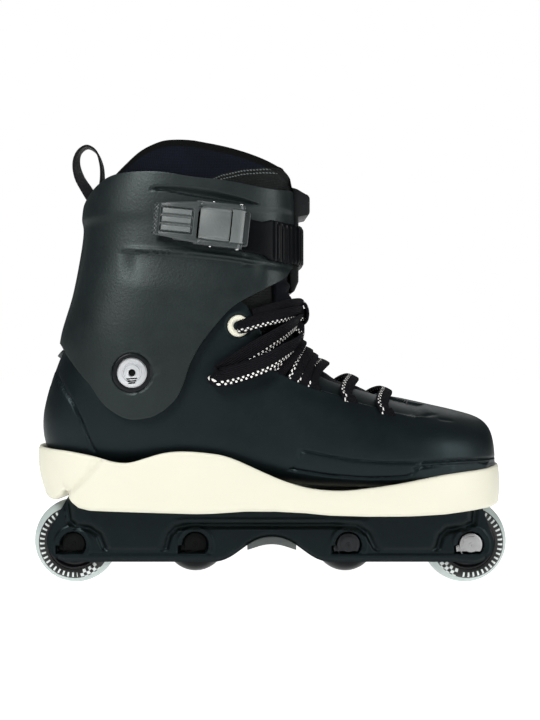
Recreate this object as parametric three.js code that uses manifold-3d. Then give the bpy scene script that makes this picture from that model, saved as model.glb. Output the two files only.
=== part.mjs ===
// One aggressive inline skate for the right foot, in millimetres.
// +X points to the toe, +Y to the inner (medial) side, +Z up.
// The origin is on the floor, midway between the two end axles, on the frame's middle plane.
import * as THREE from "three";
import { mergeVertices } from "three/addons/utils/BufferGeometryUtils.js";
import Module from "manifold-3d";

const wasm = await Module();
wasm.setup();

// ---------------------------------------------------------------- driving dimensions
const GAP = 0.35; // left between pieces that touch
const WHEEL_SIDES = 24;
const RING_SIDES = 20; // points round a section of the boot

// Running gear
const WHEEL_R = 30;
const WHEEL_HALF = 12;
const ROLLER_R = 22; // small anti-rocker wheel
const ROLLER_HALF = 11;
const AXLE_X = 139;
const ROLLER_X = 53.5;
const AXLE_Z = WHEEL_R;
const AXLE_R = 4;
const CORE_R = 19;
const BEARING_R = 11;
const BEARING_W = 7;
const BEARING_Y = 4.5; // inner face of a bearing, from the middle plane

// Frame
const FRAME_INNER = 13.6; // inside face of a side wall
const FRAME_OUTER = 20;
const FRAME_FLARE = 22; // outside face of the upper flange and pillows
const FRAME_LOW = 17.8;
const FRAME_TOP = 64.6;
const DECK_LOW = 61.4;
const ARCH_TOP = 35.3;
const ARCH_HALF = 40;
const BOLT_X = 82.5; // half of the 165 mm between the frame bolts
const BOLT_R = 3;
const HEAD_POCKET = 3.4;

// Soul plate
const PLATE_LOW = 57.2;
const CHANNEL_TOP = FRAME_TOP + 0.4;
const CHANNEL_HALF = FRAME_OUTER + 0.5;

// Boot
const SHELL_WALL = 3.5;
const LINER_GAP = 0.7;
const LINER_WALL = 7;
const CUFF_WALL = 3.2;
const PIVOT = { x: -95.3, z: 150.5 };
const PIVOT_SHAFT_R = 5;
const PIVOT_HEAD_R = 10;
const THROAT_HALF = 22;
const TONGUE_HALF = 27;
const FLAP_HALF = 17; // half of the cuff's front opening

// Buckle, in its own frame: origin on the lever pin, +X to the toe along the strap
const BUCKLE = { x: -24, y: -52.6, z: 246.7, tilt: 6 };
const PAWL_X = -18;
const STRAP_T = 2.6;
const STRAP_HALF = 13.5;

// ---------------------------------------------------------------- materials
const paint = (color, roughness, metalness = 0) =>
  new THREE.MeshStandardMaterial({ color, roughness, metalness });
const SHELL_BLACK = paint(0x1b2022, 0.55);
const CUFF_BLACK = paint(0x1a1f21, 0.5);
const CREAM = paint(0xf4f0e0, 0.5);
const FRAME_BLACK = paint(0x14191b, 0.5);
const BLOCK_GREY = paint(0x4a5352, 0.6);
const URETHANE = paint(0xcfd9d6, 0.35);
const CORE_BLACK = paint(0x101112, 0.5);
const ROLLER_BLACK = paint(0x151819, 0.45);
const STEEL = paint(0xb9bdc0, 0.3, 1);
const DARK_STEEL = paint(0x25282a, 0.4, 1);
const PADDED = paint(0x0f1216, 0.9);
const WEBBING = paint(0x0c0d0e, 0.85);
const LACE = paint(0x0d0e11, 0.9);
const BUCKLE_BLACK = paint(0x20252a, 0.4);
const RUBBER = paint(0x0b0c0d, 0.7);

// ---------------------------------------------------------------- solids
const skate = new THREE.Group();

function solid(geometry) {
  const bare = new THREE.BufferGeometry();
  bare.setAttribute("position", geometry.getAttribute("position"));
  if (geometry.index) bare.setIndex(geometry.index);
  const merged = mergeVertices(bare, 1e-4);
  return new wasm.Manifold(
    new wasm.Mesh({
      numProp: 3,
      vertProperties: new Float32Array(merged.attributes.position.array),
      triVerts: new Uint32Array(merged.index.array),
    }),
  );
}

function add(name, material, piece, parent = skate) {
  const mesh = piece.getMesh();
  const geometry = new THREE.BufferGeometry()
    .setAttribute("position", new THREE.BufferAttribute(mesh.vertProperties, 3))
    .setIndex(new THREE.BufferAttribute(mesh.triVerts, 1));
  geometry.computeVertexNormals();
  const made = new THREE.Mesh(geometry, material);
  made.name = name;
  parent.add(made);
}

// A cylinder, or a ring where bore is given, about a line along Y from y0 to y1.
function roundY(radius, y0, y1, x = 0, z = 0, sides = 16) {
  const g = new THREE.CylinderGeometry(radius, radius, y1 - y0, sides);
  return solid(g.translate(x, (y0 + y1) / 2, z));
}

const ringY = (radius, bore, y0, y1, x, z, sides) =>
  roundY(radius, y0, y1, x, z, sides).subtract(roundY(bore, y0 - 1, y1 + 1, x, z, sides));

function roundZ(radius, z0, z1, x = 0, y = 0, sides = 16) {
  const g = new THREE.CylinderGeometry(radius, radius, z1 - z0, sides).rotateX(Math.PI / 2);
  return solid(g.translate(x, y, (z0 + z1) / 2));
}

function box(x0, x1, y0, y1, z0, z1) {
  const g = new THREE.BoxGeometry(x1 - x0, y1 - y0, z1 - z0);
  return solid(g.translate((x0 + x1) / 2, (y0 + y1) / 2, (z0 + z1) / 2));
}

// A side-view outline of [x, z] points, or a THREE.Shape, drawn out from y0 to y1.
function sideCut(outline, y0, y1) {
  const shape = Array.isArray(outline)
    ? new THREE.Shape(outline.map(([x, z]) => new THREE.Vector2(x, z)))
    : outline;
  const g = new THREE.ExtrudeGeometry(shape, {
    depth: y1 - y0,
    bevelEnabled: false,
    curveSegments: 8,
  });
  return solid(g.rotateX(Math.PI / 2).translate(0, y1, 0));
}

// A smooth line through [a, b] points.
function smooth(points, steps) {
  const curve = new THREE.SplineCurve(points.map(([a, b]) => new THREE.Vector2(a, b)));
  return curve.getPoints(steps).map((p) => [p.x, p.y]);
}

// A closed solid through rings of points, all with the same number of points.
function loft(rings) {
  const n = rings[0].length;
  const position = [];
  const index = [];
  for (const ring of rings) for (const p of ring) position.push(p.x, p.y, p.z);
  for (let r = 0; r + 1 < rings.length; r++)
    for (let i = 0; i < n; i++) {
      const a = r * n + i;
      const b = r * n + ((i + 1) % n);
      index.push(a, b, a + n, b, b + n, a + n);
    }
  [rings[0], rings[rings.length - 1]].forEach((ring, end) => {
    const middle = new THREE.Vector3();
    ring.forEach((p) => middle.addScaledVector(p, 1 / n));
    const centre = position.length / 3;
    const first = end * (rings.length - 1) * n;
    position.push(middle.x, middle.y, middle.z);
    for (let i = 0; i < n; i++) {
      const [a, b] = [first + i, first + ((i + 1) % n)];
      index.push(...(end ? [a, b, centre] : [b, a, centre]));
    }
  });
  const turned = (list) =>
    new THREE.BufferGeometry()
      .setAttribute("position", new THREE.Float32BufferAttribute(position, 3))
      .setIndex(list);
  const made = solid(turned(index));
  return made.volume() > 0 ? made : solid(turned(index.slice().reverse()));
}

const largest = (piece) => piece.decompose().sort((a, b) => b.volume() - a.volume())[0];

// A flat band along a path. across is the direction of its width at each point.
function band(path, across, width, thickness) {
  const rings = path.map((p, i) => {
    const along = path[Math.min(i + 1, path.length - 1)].clone().sub(path[Math.max(i - 1, 0)]);
    const wide = across(i).clone().normalize();
    const out = along.cross(wide).normalize();
    return [
      [-1, -1],
      [1, -1],
      [1, 1],
      [-1, 1],
    ].map(([a, b]) =>
      p.clone().addScaledVector(wide, (a * width) / 2).addScaledVector(out, (b * thickness) / 2),
    );
  });
  return loft(rings);
}

// ---------------------------------------------------------------- sections of the boot
// A section runs between a low point B (sole, heel or back) and a high point T (instep or front).
// It has a half-width on each side, its widest place as a share of the way from B, and how square
// its two ends are: 2 is an ellipse, and more is squarer.
const section = (tx, tz, bx, bz, outer, inner, widest, lowSquare, highSquare) => [
  tx, tz, bx, bz, outer, inner, widest, lowSquare, highSquare,
];

// The outside of the foot shell, from the toe back round the heel and up the ankle.
const FOOT = [
  section(160.5, 100, 160.5, 77, 20, 21, 0.45, 2.6, 2.2),
  section(157, 109.5, 158.5, 73, 31, 32, 0.42, 3.2, 2.3),
  section(149, 116, 151, 71.6, 39, 39, 0.4, 3.8, 2.4),
  section(133, 122, 135, 71.5, 46, 44.5, 0.38, 4.2, 2.4),
  section(110, 128, 112, 71.5, 50.5, 47.5, 0.36, 4.4, 2.3),
  section(84, 134.5, 86, 71.5, 52, 48.5, 0.34, 4.4, 2.2),
  section(58, 144, 56, 71.5, 51, 47, 0.33, 4.2, 2.2),
  section(38, 153, 24, 72, 48, 44, 0.34, 4, 2.3),
  section(26, 163, -12, 76, 44.5, 42, 0.36, 3.8, 2.6),
  section(20, 172, -52, 81, 42, 41, 0.38, 3.6, 3),
  section(17, 180, -100, 82, 41.5, 41, 0.4, 3.2, 3.6),
  section(15, 188, -144, 83, 41.5, 41, 0.42, 2.8, 4),
  section(14, 195, -162.5, 100, 41.5, 41, 0.42, 2.6, 4.2),
  section(13, 203, -160, 127, 41.5, 41, 0.42, 2.4, 4.4),
  section(12, 211, -151.5, 157, 41, 40.5, 0.42, 2.2, 4.4),
];
const ANKLE = [
  section(11, 219, -143.5, 170, 40.5, 40, 0.42, 2.2, 4.4),
  section(10, 230, -135, 190, 40, 39.5, 0.42, 2.2, 4.4),
];

// The outside of the cuff, from under the ankle to over its top.
const CUFF = [
  section(20, 100, -152, 100, 48, 47, 0.42, 2.8, 4),
  section(20, 150, -152, 150, 48, 47, 0.42, 2.8, 4),
  section(18, 176, -151, 176, 47.6, 46.6, 0.42, 2.8, 4),
  section(17, 205, -142, 205, 46.6, 45.8, 0.43, 2.7, 4),
  section(16, 232, -136.5, 232, 45.4, 44.8, 0.44, 2.6, 3.6),
  section(16.5, 250, -134.2, 250, 45, 44.6, 0.45, 2.5, 3.4),
  section(16.5, 260, -135.4, 260, 45.2, 44.8, 0.45, 2.5, 3.4),
  section(16, 275, -132.5, 275, 45.6, 45.2, 0.45, 2.4, 3.4),
  section(15, 300, -121, 300, 45.8, 45.4, 0.45, 2.4, 3.4),
];

// The top of the liner, inside the cuff.
const COLLAR = [
  section(8, 232, -132, 215, 40, 39.5, 0.43, 2.4, 3.8),
  section(9.5, 250, -129, 245, 40.3, 40, 0.44, 2.4, 3.2),
  section(11, 272, -128, 270, 40.8, 40.4, 0.45, 2.4, 2.8),
  section(10, 296, -117, 294, 40, 39.6, 0.45, 2.4, 2.6),
  section(6, 316, -108, 316, 38, 37.6, 0.45, 2.4, 2.6),
];

// The points round a section, grown outwards by grow.
function ring(s, grow = 0, sides = RING_SIDES) {
  const [tx, tz, bx, bz, outer, inner, widest, lowSquare, highSquare] = s;
  const up = new THREE.Vector3(tx - bx, 0, tz - bz);
  const height = up.length();
  up.normalize();
  const middle = new THREE.Vector3(bx, 0, bz).addScaledVector(up, widest * height);
  const low = widest * height + grow;
  const high = (1 - widest) * height + grow;
  const points = [];
  for (let i = 0; i < sides; i++) {
    const [c, w] = [Math.cos((2 * Math.PI * i) / sides), Math.sin((2 * Math.PI * i) / sides)];
    const power = 2 / (c > 0 ? lowSquare : highSquare);
    const along = Math.abs(c) ** power * (c > 0 ? -low : high);
    const across = Math.sign(w) * Math.abs(w) ** power * ((w > 0 ? inner : outer) + grow);
    const p = middle.clone().addScaledVector(up, along);
    p.y = across;
    points.push(p);
  }
  return points;
}

const form = (list, grow) => loft(list.map((s) => ring(s, grow)));

const footSections = [...FOOT, ...ANKLE];
const linerSections = [...FOOT, ...ANKLE, ...COLLAR];

// ---------------------------------------------------------------- running gear
// A wheel is turned so that a flat of its tread lies on the floor.
function turned(profile, sides = WHEEL_SIDES) {
  const points = [...profile, profile[0]].map(([r, y]) => new THREE.Vector2(r, y));
  const made = solid(new THREE.LatheGeometry(points, sides).rotateY(Math.PI / sides));
  return made.volume() > 0
    ? made
    : solid(new THREE.LatheGeometry(points.reverse(), sides).rotateY(Math.PI / sides));
}

function tread(radius, half, flat, shoulder) {
  const r = radius / Math.cos(Math.PI / WHEEL_SIDES);
  return [
    [r - shoulder, -half],
    [r - shoulder * 0.3, -(half + flat) / 2 - 1],
    [r, -flat],
    [r, flat],
    [r - shoulder * 0.3, (half + flat) / 2 + 1],
    [r - shoulder, half],
  ];
}

// A bearing seat on each side, with a ledge between them.
function hubBore(half) {
  const seat = BEARING_R + GAP;
  const ledge = BEARING_R - 2;
  return [
    [seat, half],
    [seat, BEARING_Y - 0.3],
    [ledge, BEARING_Y - 0.3],
    [ledge, -BEARING_Y + 0.3],
    [seat, -BEARING_Y + 0.3],
    [seat, -half],
  ];
}

function rollingPair(place, x) {
  for (const [side, sign] of [["outer", -1], ["inner", 1]]) {
    const [a, b] = [sign * BEARING_Y, sign * (BEARING_Y + BEARING_W)].sort((p, q) => p - q);
    const bearing = ringY(BEARING_R, AXLE_R + GAP, a, b, 0, 0, 12);
    add(`bearing_${place}_${side}`, STEEL, bearing.translate([x, 0, AXLE_Z]));
  }
  const reach = BEARING_Y - GAP;
  add(`spacer_${place}`, STEEL, ringY(AXLE_R + 2.4, AXLE_R + GAP, -reach, reach, x, AXLE_Z, 10));
}

function endWheel(place, x) {
  const at = (s) => s.translate([x, 0, AXLE_Z]);
  const inside = CORE_R + GAP;
  const tyre = turned([...tread(WHEEL_R, WHEEL_HALF, 7, 4), [inside, WHEEL_HALF], [inside, -WHEEL_HALF]]);
  const half = WHEEL_HALF - 0.5;
  const core = turned([[CORE_R, -half], [CORE_R, half], ...hubBore(half)], 16);
  add(`tyre_${place}`, URETHANE, at(tyre));
  add(`core_${place}`, CORE_BLACK, at(core));
  rollingPair(place, x);
}

function antiRocker(place, x) {
  const roller = turned([...tread(ROLLER_R, ROLLER_HALF, 6, 3), ...hubBore(ROLLER_HALF)], 16);
  add(`roller_${place}`, ROLLER_BLACK, roller.translate([x, 0, AXLE_Z]));
  rollingPair(`${place}_roller`, x);
}

// The flat-bottomed head of an axle, with a key that stops it turning. grow widens it for its pocket.
function axleHead(x, y0, y1, grow = 0) {
  const shape = new THREE.Shape();
  const [r, flat] = [8 + grow, 5 + grow];
  const start = Math.asin(flat / r);
  shape.absarc(x, AXLE_Z, r, -start, Math.PI + start, false);
  const key = sideCut([[x - r - 2.4, AXLE_Z - flat], [x - 4, AXLE_Z - flat], [x - 4, AXLE_Z], [x - r - 2.4, AXLE_Z]], y0, y1);
  return sideCut(shape, y0, y1).add(key);
}

function axle(place, x) {
  const steel = place === "front" ? STEEL : DARK_STEEL;
  const headBack = -FRAME_OUTER + HEAD_POCKET - GAP;
  const shaft = roundY(AXLE_R, headBack - 1, FRAME_OUTER - 5, x, AXLE_Z, 12);
  const thread = roundY(2.8, 4, FRAME_OUTER, x, AXLE_Z, 8);
  const head = axleHead(x, -FRAME_OUTER + 0.6, headBack);
  add(`axle_${place}`, steel, head.add(shaft).subtract(thread));
  const screwHead = roundY(6.5, FRAME_OUTER - HEAD_POCKET + GAP, FRAME_OUTER - 0.4, x, AXLE_Z, 16);
  const screwShaft = roundY(2.8 - GAP, 6, FRAME_OUTER - 2, x, AXLE_Z, 8);
  const socket = roundY(2.3, FRAME_OUTER - 2, FRAME_OUTER + 1, x, AXLE_Z, 6);
  add(`axle_screw_${place}`, DARK_STEEL, screwHead.add(screwShaft).subtract(socket));
}

const STATIONS = [["front", AXLE_X], ["rear", -AXLE_X], ["front_roller", ROLLER_X], ["rear_roller", -ROLLER_X]];
endWheel("front", AXLE_X);
endWheel("rear", -AXLE_X);
antiRocker("front", ROLLER_X);
antiRocker("rear", -ROLLER_X);
STATIONS.forEach(([place, x]) => axle(place, x));

// ---------------------------------------------------------------- frame
function frameSide() {
  const shape = new THREE.Shape();
  shape.moveTo(-142.5, FRAME_TOP);
  shape.lineTo(-156, 39);
  shape.absarc(-142, 33, 15.2, Math.PI - 0.4, 1.5 * Math.PI, false);
  shape.lineTo(-ARCH_HALF, FRAME_LOW);
  shape.bezierCurveTo(-24, FRAME_LOW + 1, -18, ARCH_TOP, 0, ARCH_TOP);
  shape.bezierCurveTo(18, ARCH_TOP, 24, FRAME_LOW + 1, ARCH_HALF, FRAME_LOW);
  shape.lineTo(128, FRAME_LOW);
  shape.absarc(140, 31.5, 15.2, 1.5 * Math.PI, 2 * Math.PI + 0.35, false);
  shape.lineTo(147.5, 54);
  shape.lineTo(145, FRAME_TOP);
  return shape;
}

function makeFrame() {
  const wall = sideCut(frameSide(), -FRAME_OUTER, FRAME_OUTER);
  const inside = box(-200, 200, -FRAME_INNER, FRAME_INNER, 0, DECK_LOW);
  let frame = wall.subtract(inside);
  const flange = [[-138, 47], [140, 47], [140, 56.7], [-141, 56.7]];
  for (const side of [-1, 1]) {
    const [a, b] = side < 0 ? [-FRAME_FLARE, -FRAME_OUTER + 1] : [FRAME_OUTER - 1, FRAME_FLARE];
    frame = frame.add(sideCut(flange, a, b));
    for (const [from, to] of [[-118, -74], [76, 120]]) {
      const pillow = [[from, 25], [to, 25], [to + 4, 56], [from - 4, 56]];
      frame = frame.add(sideCut(pillow, a, b));
    }
  }
  for (const [, x] of STATIONS) {
    frame = frame
      .subtract(roundY(AXLE_R + GAP, -30, 30, x, AXLE_Z, 10))
      .subtract(axleHead(x, -FRAME_OUTER - 3, -FRAME_OUTER + HEAD_POCKET, 0.7))
      .subtract(roundY(7.2, FRAME_OUTER - HEAD_POCKET, FRAME_OUTER + 3, x, AXLE_Z, 16));
  }
  for (const x of [-BOLT_X, BOLT_X]) frame = frame.subtract(roundZ(BOLT_R + GAP, 50, 80, x, 0, 12));
  return frame;
}
add("frame", FRAME_BLACK, makeFrame());

// The block that closes the channel between the small wheels, where a rail slides.
const BLOCK_HALF = 16;
const blockY = FRAME_INNER - GAP;
const arch = smooth([[-BLOCK_HALF, 30.5], [-8, 34], [0, ARCH_TOP - 0.5], [8, 34], [BLOCK_HALF, 30.5]], 12);
const block = [...arch, [BLOCK_HALF, DECK_LOW - GAP], [-BLOCK_HALF, DECK_LOW - GAP]];
add("grind_block", BLOCK_GREY, sideCut(block, -blockY, blockY));

// ---------------------------------------------------------------- soul plate
const FOOTPRINT = [
  [-164.8, 0], [-161, -20], [-149, -35.5], [-125, -44], [-90, -47.5], [-48, -50.5], [0, -54.5],
  [45, -57], [85, -55.5], [120, -49.5], [145, -37.5], [158.5, -20], [163.4, 0], [160, 22],
  [147, 39.5], [121, 50.5], [85, 55], [45, 54.5], [0, 50.5], [-48, 47], [-90, 45], [-125, 43], [-150, 34],
  [-161, 19],
];
const RIM = [
  [-172, 97], [-150, 98.6], [-135, 98.4], [-115, 93.2], [-101, 90.6], [-88, 93.2], [-74, 96.8],
  [-55, 98], [-35, 95.2], [-15, 87.2], [5, 78.6], [24, 74], [44, 72.6], [64, 73.9], [84, 76.6],
  [104, 79.6], [130, 81.5], [172, 83.5],
];

function footprintRing(inset, z, heelBack) {
  const outline = new THREE.SplineCurve(
    [...FOOTPRINT, FOOTPRINT[0]].map(([x, y]) => new THREE.Vector2(x, y)),
  ).getPoints(40);
  outline.pop();
  return outline.map((p) => {
    const lean = p.x < -120 ? heelBack * ((-120 - p.x) / 45) : 0;
    return new THREE.Vector3(p.x * (1 - inset / 163) + lean, p.y * (1 - inset / 50), z);
  });
}

function makeSoulPlate() {
  const rings = [[4, PLATE_LOW, 3.5], [1.2, 60, 3], [0, 66, 2.2], [0, 84, 0.6], [1.4, 102, 0]];
  const rim = smooth(RIM, 60);
  const over = [...rim, [172, 130], [-172, 130]];
  const heelNotch = [
    [-180, 40], [-180, 58.6], [-155.5, 58.6], [-146.5, 65], [-144.5, 62], [-142, 59], [-137, 57.5],
    [-137, 40],
  ];
  let plate = loft(rings.map(([inset, z, heel]) => footprintRing(inset, z, heel)))
    .subtract(sideCut(over, -80, 80))
    .subtract(form(FOOT, 0.4))
    .subtract(sideCut(heelNotch, -80, 80))
    .subtract(box(-146.5, 155, -CHANNEL_HALF, CHANNEL_HALF, 40, CHANNEL_TOP));
  for (const x of [-BOLT_X, BOLT_X]) plate = plate.subtract(roundZ(BOLT_R + GAP, 50, 100, x, 0, 12));
  return plate;
}
add("soul_plate", CREAM, makeSoulPlate());

// ---------------------------------------------------------------- foot shell
const EYELET = { x: -24.2, z: 182, seat: 39.2 };
const SHELL_EDGE = [
  [-175, 176], [-140, 176], [-100, 180], [-62, 189], [-46, 201], [-34, 205], [-22, 200], [-14, 188], [-4, 171],
  [10, 154],
];

function mirrored(points) {
  return [...points, ...points.slice().reverse().map(([x, y]) => [x, -y])];
}

// The opening over the instep, seen from above.
function throat(half, reach) {
  const edge = [[-40, half + 6], [10, half + 2], [60, half - 2], [reach - 12, half - 5], [reach - 3, half - 9]];
  const shape = new THREE.Shape(
    mirrored([...edge, [reach, half - 14]]).map(([x, y]) => new THREE.Vector2(x, y)),
  );
  const g = new THREE.ExtrudeGeometry(shape, { depth: 240, bevelEnabled: false });
  return solid(g.translate(0, 0, 108));
}

function makeShell() {
  const edge = smooth(SHELL_EDGE, 30);
  const over = [...edge, [40, 154], [60, 300], [-175, 300]];
  const cavity = loft(footSections.slice(1).map((s) => ring(s, -SHELL_WALL)));
  let shell = form(footSections, 0)
    .subtract(cavity)
    .subtract(sideCut(over, -80, 80))
    .subtract(throat(THROAT_HALF, 93));
  for (const side of [-1, 1]) {
    const y = (near, far) => (side < 0 ? [-far, -near] : [near, far]);
    shell = shell
      .add(roundY(8.4, ...y(38, 42.3), PIVOT.x, PIVOT.z, 16))
      .add(roundY(8.4, ...y(37, EYELET.seat), EYELET.x, EYELET.z, 16))
      .subtract(roundY(8.4, ...y(EYELET.seat, 60), EYELET.x, EYELET.z, 16))
      .subtract(roundY(PIVOT_SHAFT_R + GAP, ...y(30, 60), PIVOT.x, PIVOT.z, 16))
      .subtract(roundY(8.3, ...y(20, 40.4), PIVOT.x, PIVOT.z, 12))
      .subtract(roundY(4.4, ...y(20, 60), EYELET.x, EYELET.z, 12));
  }
  for (const x of [-BOLT_X, BOLT_X]) shell = shell.subtract(roundZ(BOLT_R + GAP, 50, 95, x, 0, 12));
  return shell;
}
add("shell", SHELL_BLACK, makeShell());

// Bolts hold the frame and the plate under the shell, and thread into its floor.
for (const [place, x, top] of [["front", BOLT_X, 74.6], ["rear", -BOLT_X, 84]]) {
  const head = roundZ(5.6, DECK_LOW - GAP - 3, DECK_LOW - GAP, x, 0, 16);
  const bolt = head.add(roundZ(BOLT_R, DECK_LOW - 1, top, x, 0, 12));
  add(`frame_bolt_${place}`, DARK_STEEL, bolt.subtract(roundZ(2.4, 50, DECK_LOW - 1.8, x, 0, 6)));
}

// ---------------------------------------------------------------- liner and tongue
const LINER_EDGE = [
  [-150, 283], [-122, 285], [-112, 291], [-97, 298.5], [-78, 306.5], [-62, 308.5], [-34, 303], [-6, 292],
  [9, 286], [40, 284],
];
const linerOuter = -(SHELL_WALL + LINER_GAP);
const linerInner = linerOuter - LINER_WALL;

// Inside the cuff the collar's own sections are the liner's outside.
const linerForm = (grow, first) =>
  loft(
    linerSections
      .map((s) => ring(s, COLLAR.includes(s) ? grow - linerOuter : grow))
      .slice(first),
  );

const linerBody = linerForm(linerOuter, 2)
  .subtract(linerForm(linerInner, 3))
  .subtract(sideCut([...smooth(LINER_EDGE, 20), [40, 360], [-150, 360]], -80, 80));
add("liner", PADDED, linerBody.subtract(throat(TONGUE_HALF, 84)));
const tongueStrip = linerBody
  .intersect(throat(TONGUE_HALF - 0.6, 83))
  .intersect(box(-20, 100, -40, 40, 108, 283));
add("tongue", PADDED, largest(tongueStrip));

// The insole lies on the floor of the liner.
const insoleForm = loft(FOOT.slice(3).map((s) => ring(s, linerInner - 0.5)));
const insole = insoleForm.subtract(insoleForm.translate([0, 0, 3])).intersect(box(-160, 140, -60, 60, 60, 104));
add("insole", PADDED, largest(insole));

// ---------------------------------------------------------------- cuff
const CUFF_TOP = [
  [-145, 262], [-132, 273.5], [-121, 283.5], [-101, 288.8], [-77, 285.6], [-40, 281.3], [3, 275.8], [25, 274],
];
const CUFF_LOW = [
  [25, 228], [14, 221.9], [7, 214.3], [-9, 205.7], [-27, 195.5], [-40, 182], [-50, 168.8], [-57, 155.5],
  [-61.5, 142], [-67, 132], [-78, 122.8], [-90, 119.5], [-100, 120.1], [-110, 125.5], [-117, 132], [-124, 142],
  [-132, 148.6], [-147, 164.4], [-160, 166],
];

function makeCuff() {
  const tall = CUFF.map((s) => ring(s, -CUFF_WALL));
  tall[0].forEach((p) => (p.z -= 4));
  tall[tall.length - 1].forEach((p) => (p.z += 4));
  const side = [...smooth(CUFF_TOP, 20), ...smooth(CUFF_LOW, 40)];
  let cuff = form(CUFF, 0)
    .subtract(loft(tall))
    .intersect(sideCut(side, -80, 80))
    .subtract(box(-10, 60, -FLAP_HALF, FLAP_HALF, 90, 320));
  for (const sign of [-1, 1]) {
    const y = (near, far) => (sign < 0 ? [-far, -near] : [near, far]);
    cuff = cuff
      .subtract(roundY(PIVOT_SHAFT_R + 0.5, ...y(30, 60), PIVOT.x, PIVOT.z, 16))
      .subtract(roundY(PIVOT_HEAD_R + 1.2, ...y(46.3, 60), PIVOT.x, PIVOT.z, 24));
  }
  return cuff;
}
add("cuff", CUFF_BLACK, makeCuff());

// Each pivot bolt passes through the cuff and threads into a nut inside the shell.
for (const [side, sign] of [["outer", -1], ["inner", 1]]) {
  const y = (near, far) => (sign < 0 ? [-far, -near] : [near, far]);
  const head = roundY(PIVOT_HEAD_R, ...y(46.6, 48.8), PIVOT.x, PIVOT.z, 24);
  const shaft = roundY(PIVOT_SHAFT_R, ...y(38.5, 47), PIVOT.x, PIVOT.z, 16);
  const socket = roundY(2.4, ...y(46, 60), PIVOT.x, PIVOT.z, 8);
  add(`cuff_bolt_${side}`, STEEL, head.add(shaft).subtract(socket));
  const nut = ringY(8, PIVOT_SHAFT_R + GAP, ...y(37.6, 40), PIVOT.x, PIVOT.z, 16);
  add(`cuff_nut_${side}`, DARK_STEEL, nut);
}

// A stud on the back of the shell, under the cuff's edge, stops the cuff going back.
const stud = new THREE.CapsuleGeometry(3.6, 5, 4, 10).rotateZ(Math.PI / 2 - 0.75);
const studSolid = solid(stud.translate(-151.6, 0, 160.2));
add("cuff_stop", RUBBER, studSolid.subtract(form(footSections.slice(11), GAP)));

// ---------------------------------------------------------------- eyelets
for (const [side, sign] of [["outer", -1], ["inner", 1]]) {
  const y = (near, far) => (sign < 0 ? [-far, -near] : [near, far]);
  const flange = ringY(7.2, 3.2, ...y(EYELET.seat + GAP, EYELET.seat + 2), EYELET.x, EYELET.z, 12);
  const barrel = ringY(4, 3.2, ...y(EYELET.seat - 3, EYELET.seat + 1), EYELET.x, EYELET.z, 12);
  add(`eyelet_${side}`, CREAM, flange.add(barrel));
}

// ---------------------------------------------------------------- tongue guard and strap
// A moulded guard on the tongue fills the cuff's opening, and its lips keep the strap in place.
const GUARD = [
  [12, 206.5], [16, 207], [19, 214], [19, 259.5], [22, 260.5], [26.5, 263], [27.6, 266], [27.6, 271],
  [25.5, 275], [18.5, 279], [12, 281],
];
const guard = sideCut(GUARD, -FLAP_HALF + 0.6, FLAP_HALF - 0.6);
add("tongue_guard", RUBBER, guard.subtract(linerBody.translate([0.5, 0, 0])));

// The strap goes round the front of the cuff from the buckle to a screw on the inner side.
const strapSection = section(21.3, 238, -134, 238, 47.8, 47.4, 0.44, 2.5, 3.4);
function strapPath() {
  const around = ring(strapSection, 0, 72);
  const level = (x) => 238 + Math.max(0, (8 - x) * 0.16);
  const path = around.filter((p) => p.x > -28 || (p.y > 0 && p.x > -72));
  const ordered = path.sort((a, b) => Math.atan2(a.y, a.x + 60) - Math.atan2(b.y, b.x + 60));
  return ordered.map((p) => new THREE.Vector3(p.x, p.y, level(p.x)));
}
const strapLine = strapPath();
const upright = new THREE.Vector3(0, 0, 1);
const strapWide = band(strapLine, () => upright, 2 * STRAP_HALF, STRAP_T);
const strapClear = strapWide.subtract(form(CUFF, GAP));
const screwPlace = strapLine[strapLine.length - 3];

// ---------------------------------------------------------------- buckle
const buckle = new THREE.Group();
buckle.position.set(BUCKLE.x, BUCKLE.y, BUCKLE.z);
buckle.rotation.y = THREE.MathUtils.degToRad(BUCKLE.tilt);
skate.add(buckle);

// A solid given in the skate's frame, carried into the buckle's own frame.
const intoBuckle = (s) =>
  s.translate([-BUCKLE.x, -BUCKLE.y, -BUCKLE.z]).rotate([0, -BUCKLE.tilt, 0]);

function makeBuckleBase() {
  const plate = box(-44, 7, 5.3, 10, -12, 12).subtract(intoBuckle(form(CUFF, 0.6)));
  const ears = [-1, 1].map((s) => {
    const [a, b] = s < 0 ? [-10.9, -9.4] : [9.4, 10.9];
    return box(-5, 5, -2.4, 6.5, a, b);
  });
  const barrel = roundZ(2.6, -10, 10, 0, 0, 12);
  return plate.add(ears[0]).add(ears[1]).add(barrel).subtract(roundZ(1.8, -20, 20, 0, 0, 10));
}

function makeBuckleLever() {
  const profile = smooth([[-57.5, 1.6], [-54, -1.2], [-45, -3.2], [-33, -3.7], [-22, -3.6]], 6);
  const curved = [...profile, [-22, 2.4], [-54, 2.4]];
  const shape = new THREE.Shape(curved.map(([x, y]) => new THREE.Vector2(x, y)));
  const g = new THREE.ExtrudeGeometry(shape, { depth: 29, bevelEnabled: false });
  const arms = [-1, 1].map((s) => {
    const [a, b] = s < 0 ? [-14.5, -11.3] : [11.3, 14.5];
    const arm = box(-30, 0, -3.6, 2.6, a, b);
    return arm.add(roundZ(3.8, a, b, 0, 0, 16));
  });
  return solid(g.translate(0, 0, -14.5))
    .subtract(box(-27.6, 20, -20, 20, -11.3, 11.3))
    .add(arms[0])
    .add(arms[1])
    .subtract(roundZ(1.8, -20, 20, 0, 0, 10))
    .subtract(roundZ(1.2, -20, 20, PAWL_X, -0.6, 8));
}

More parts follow.
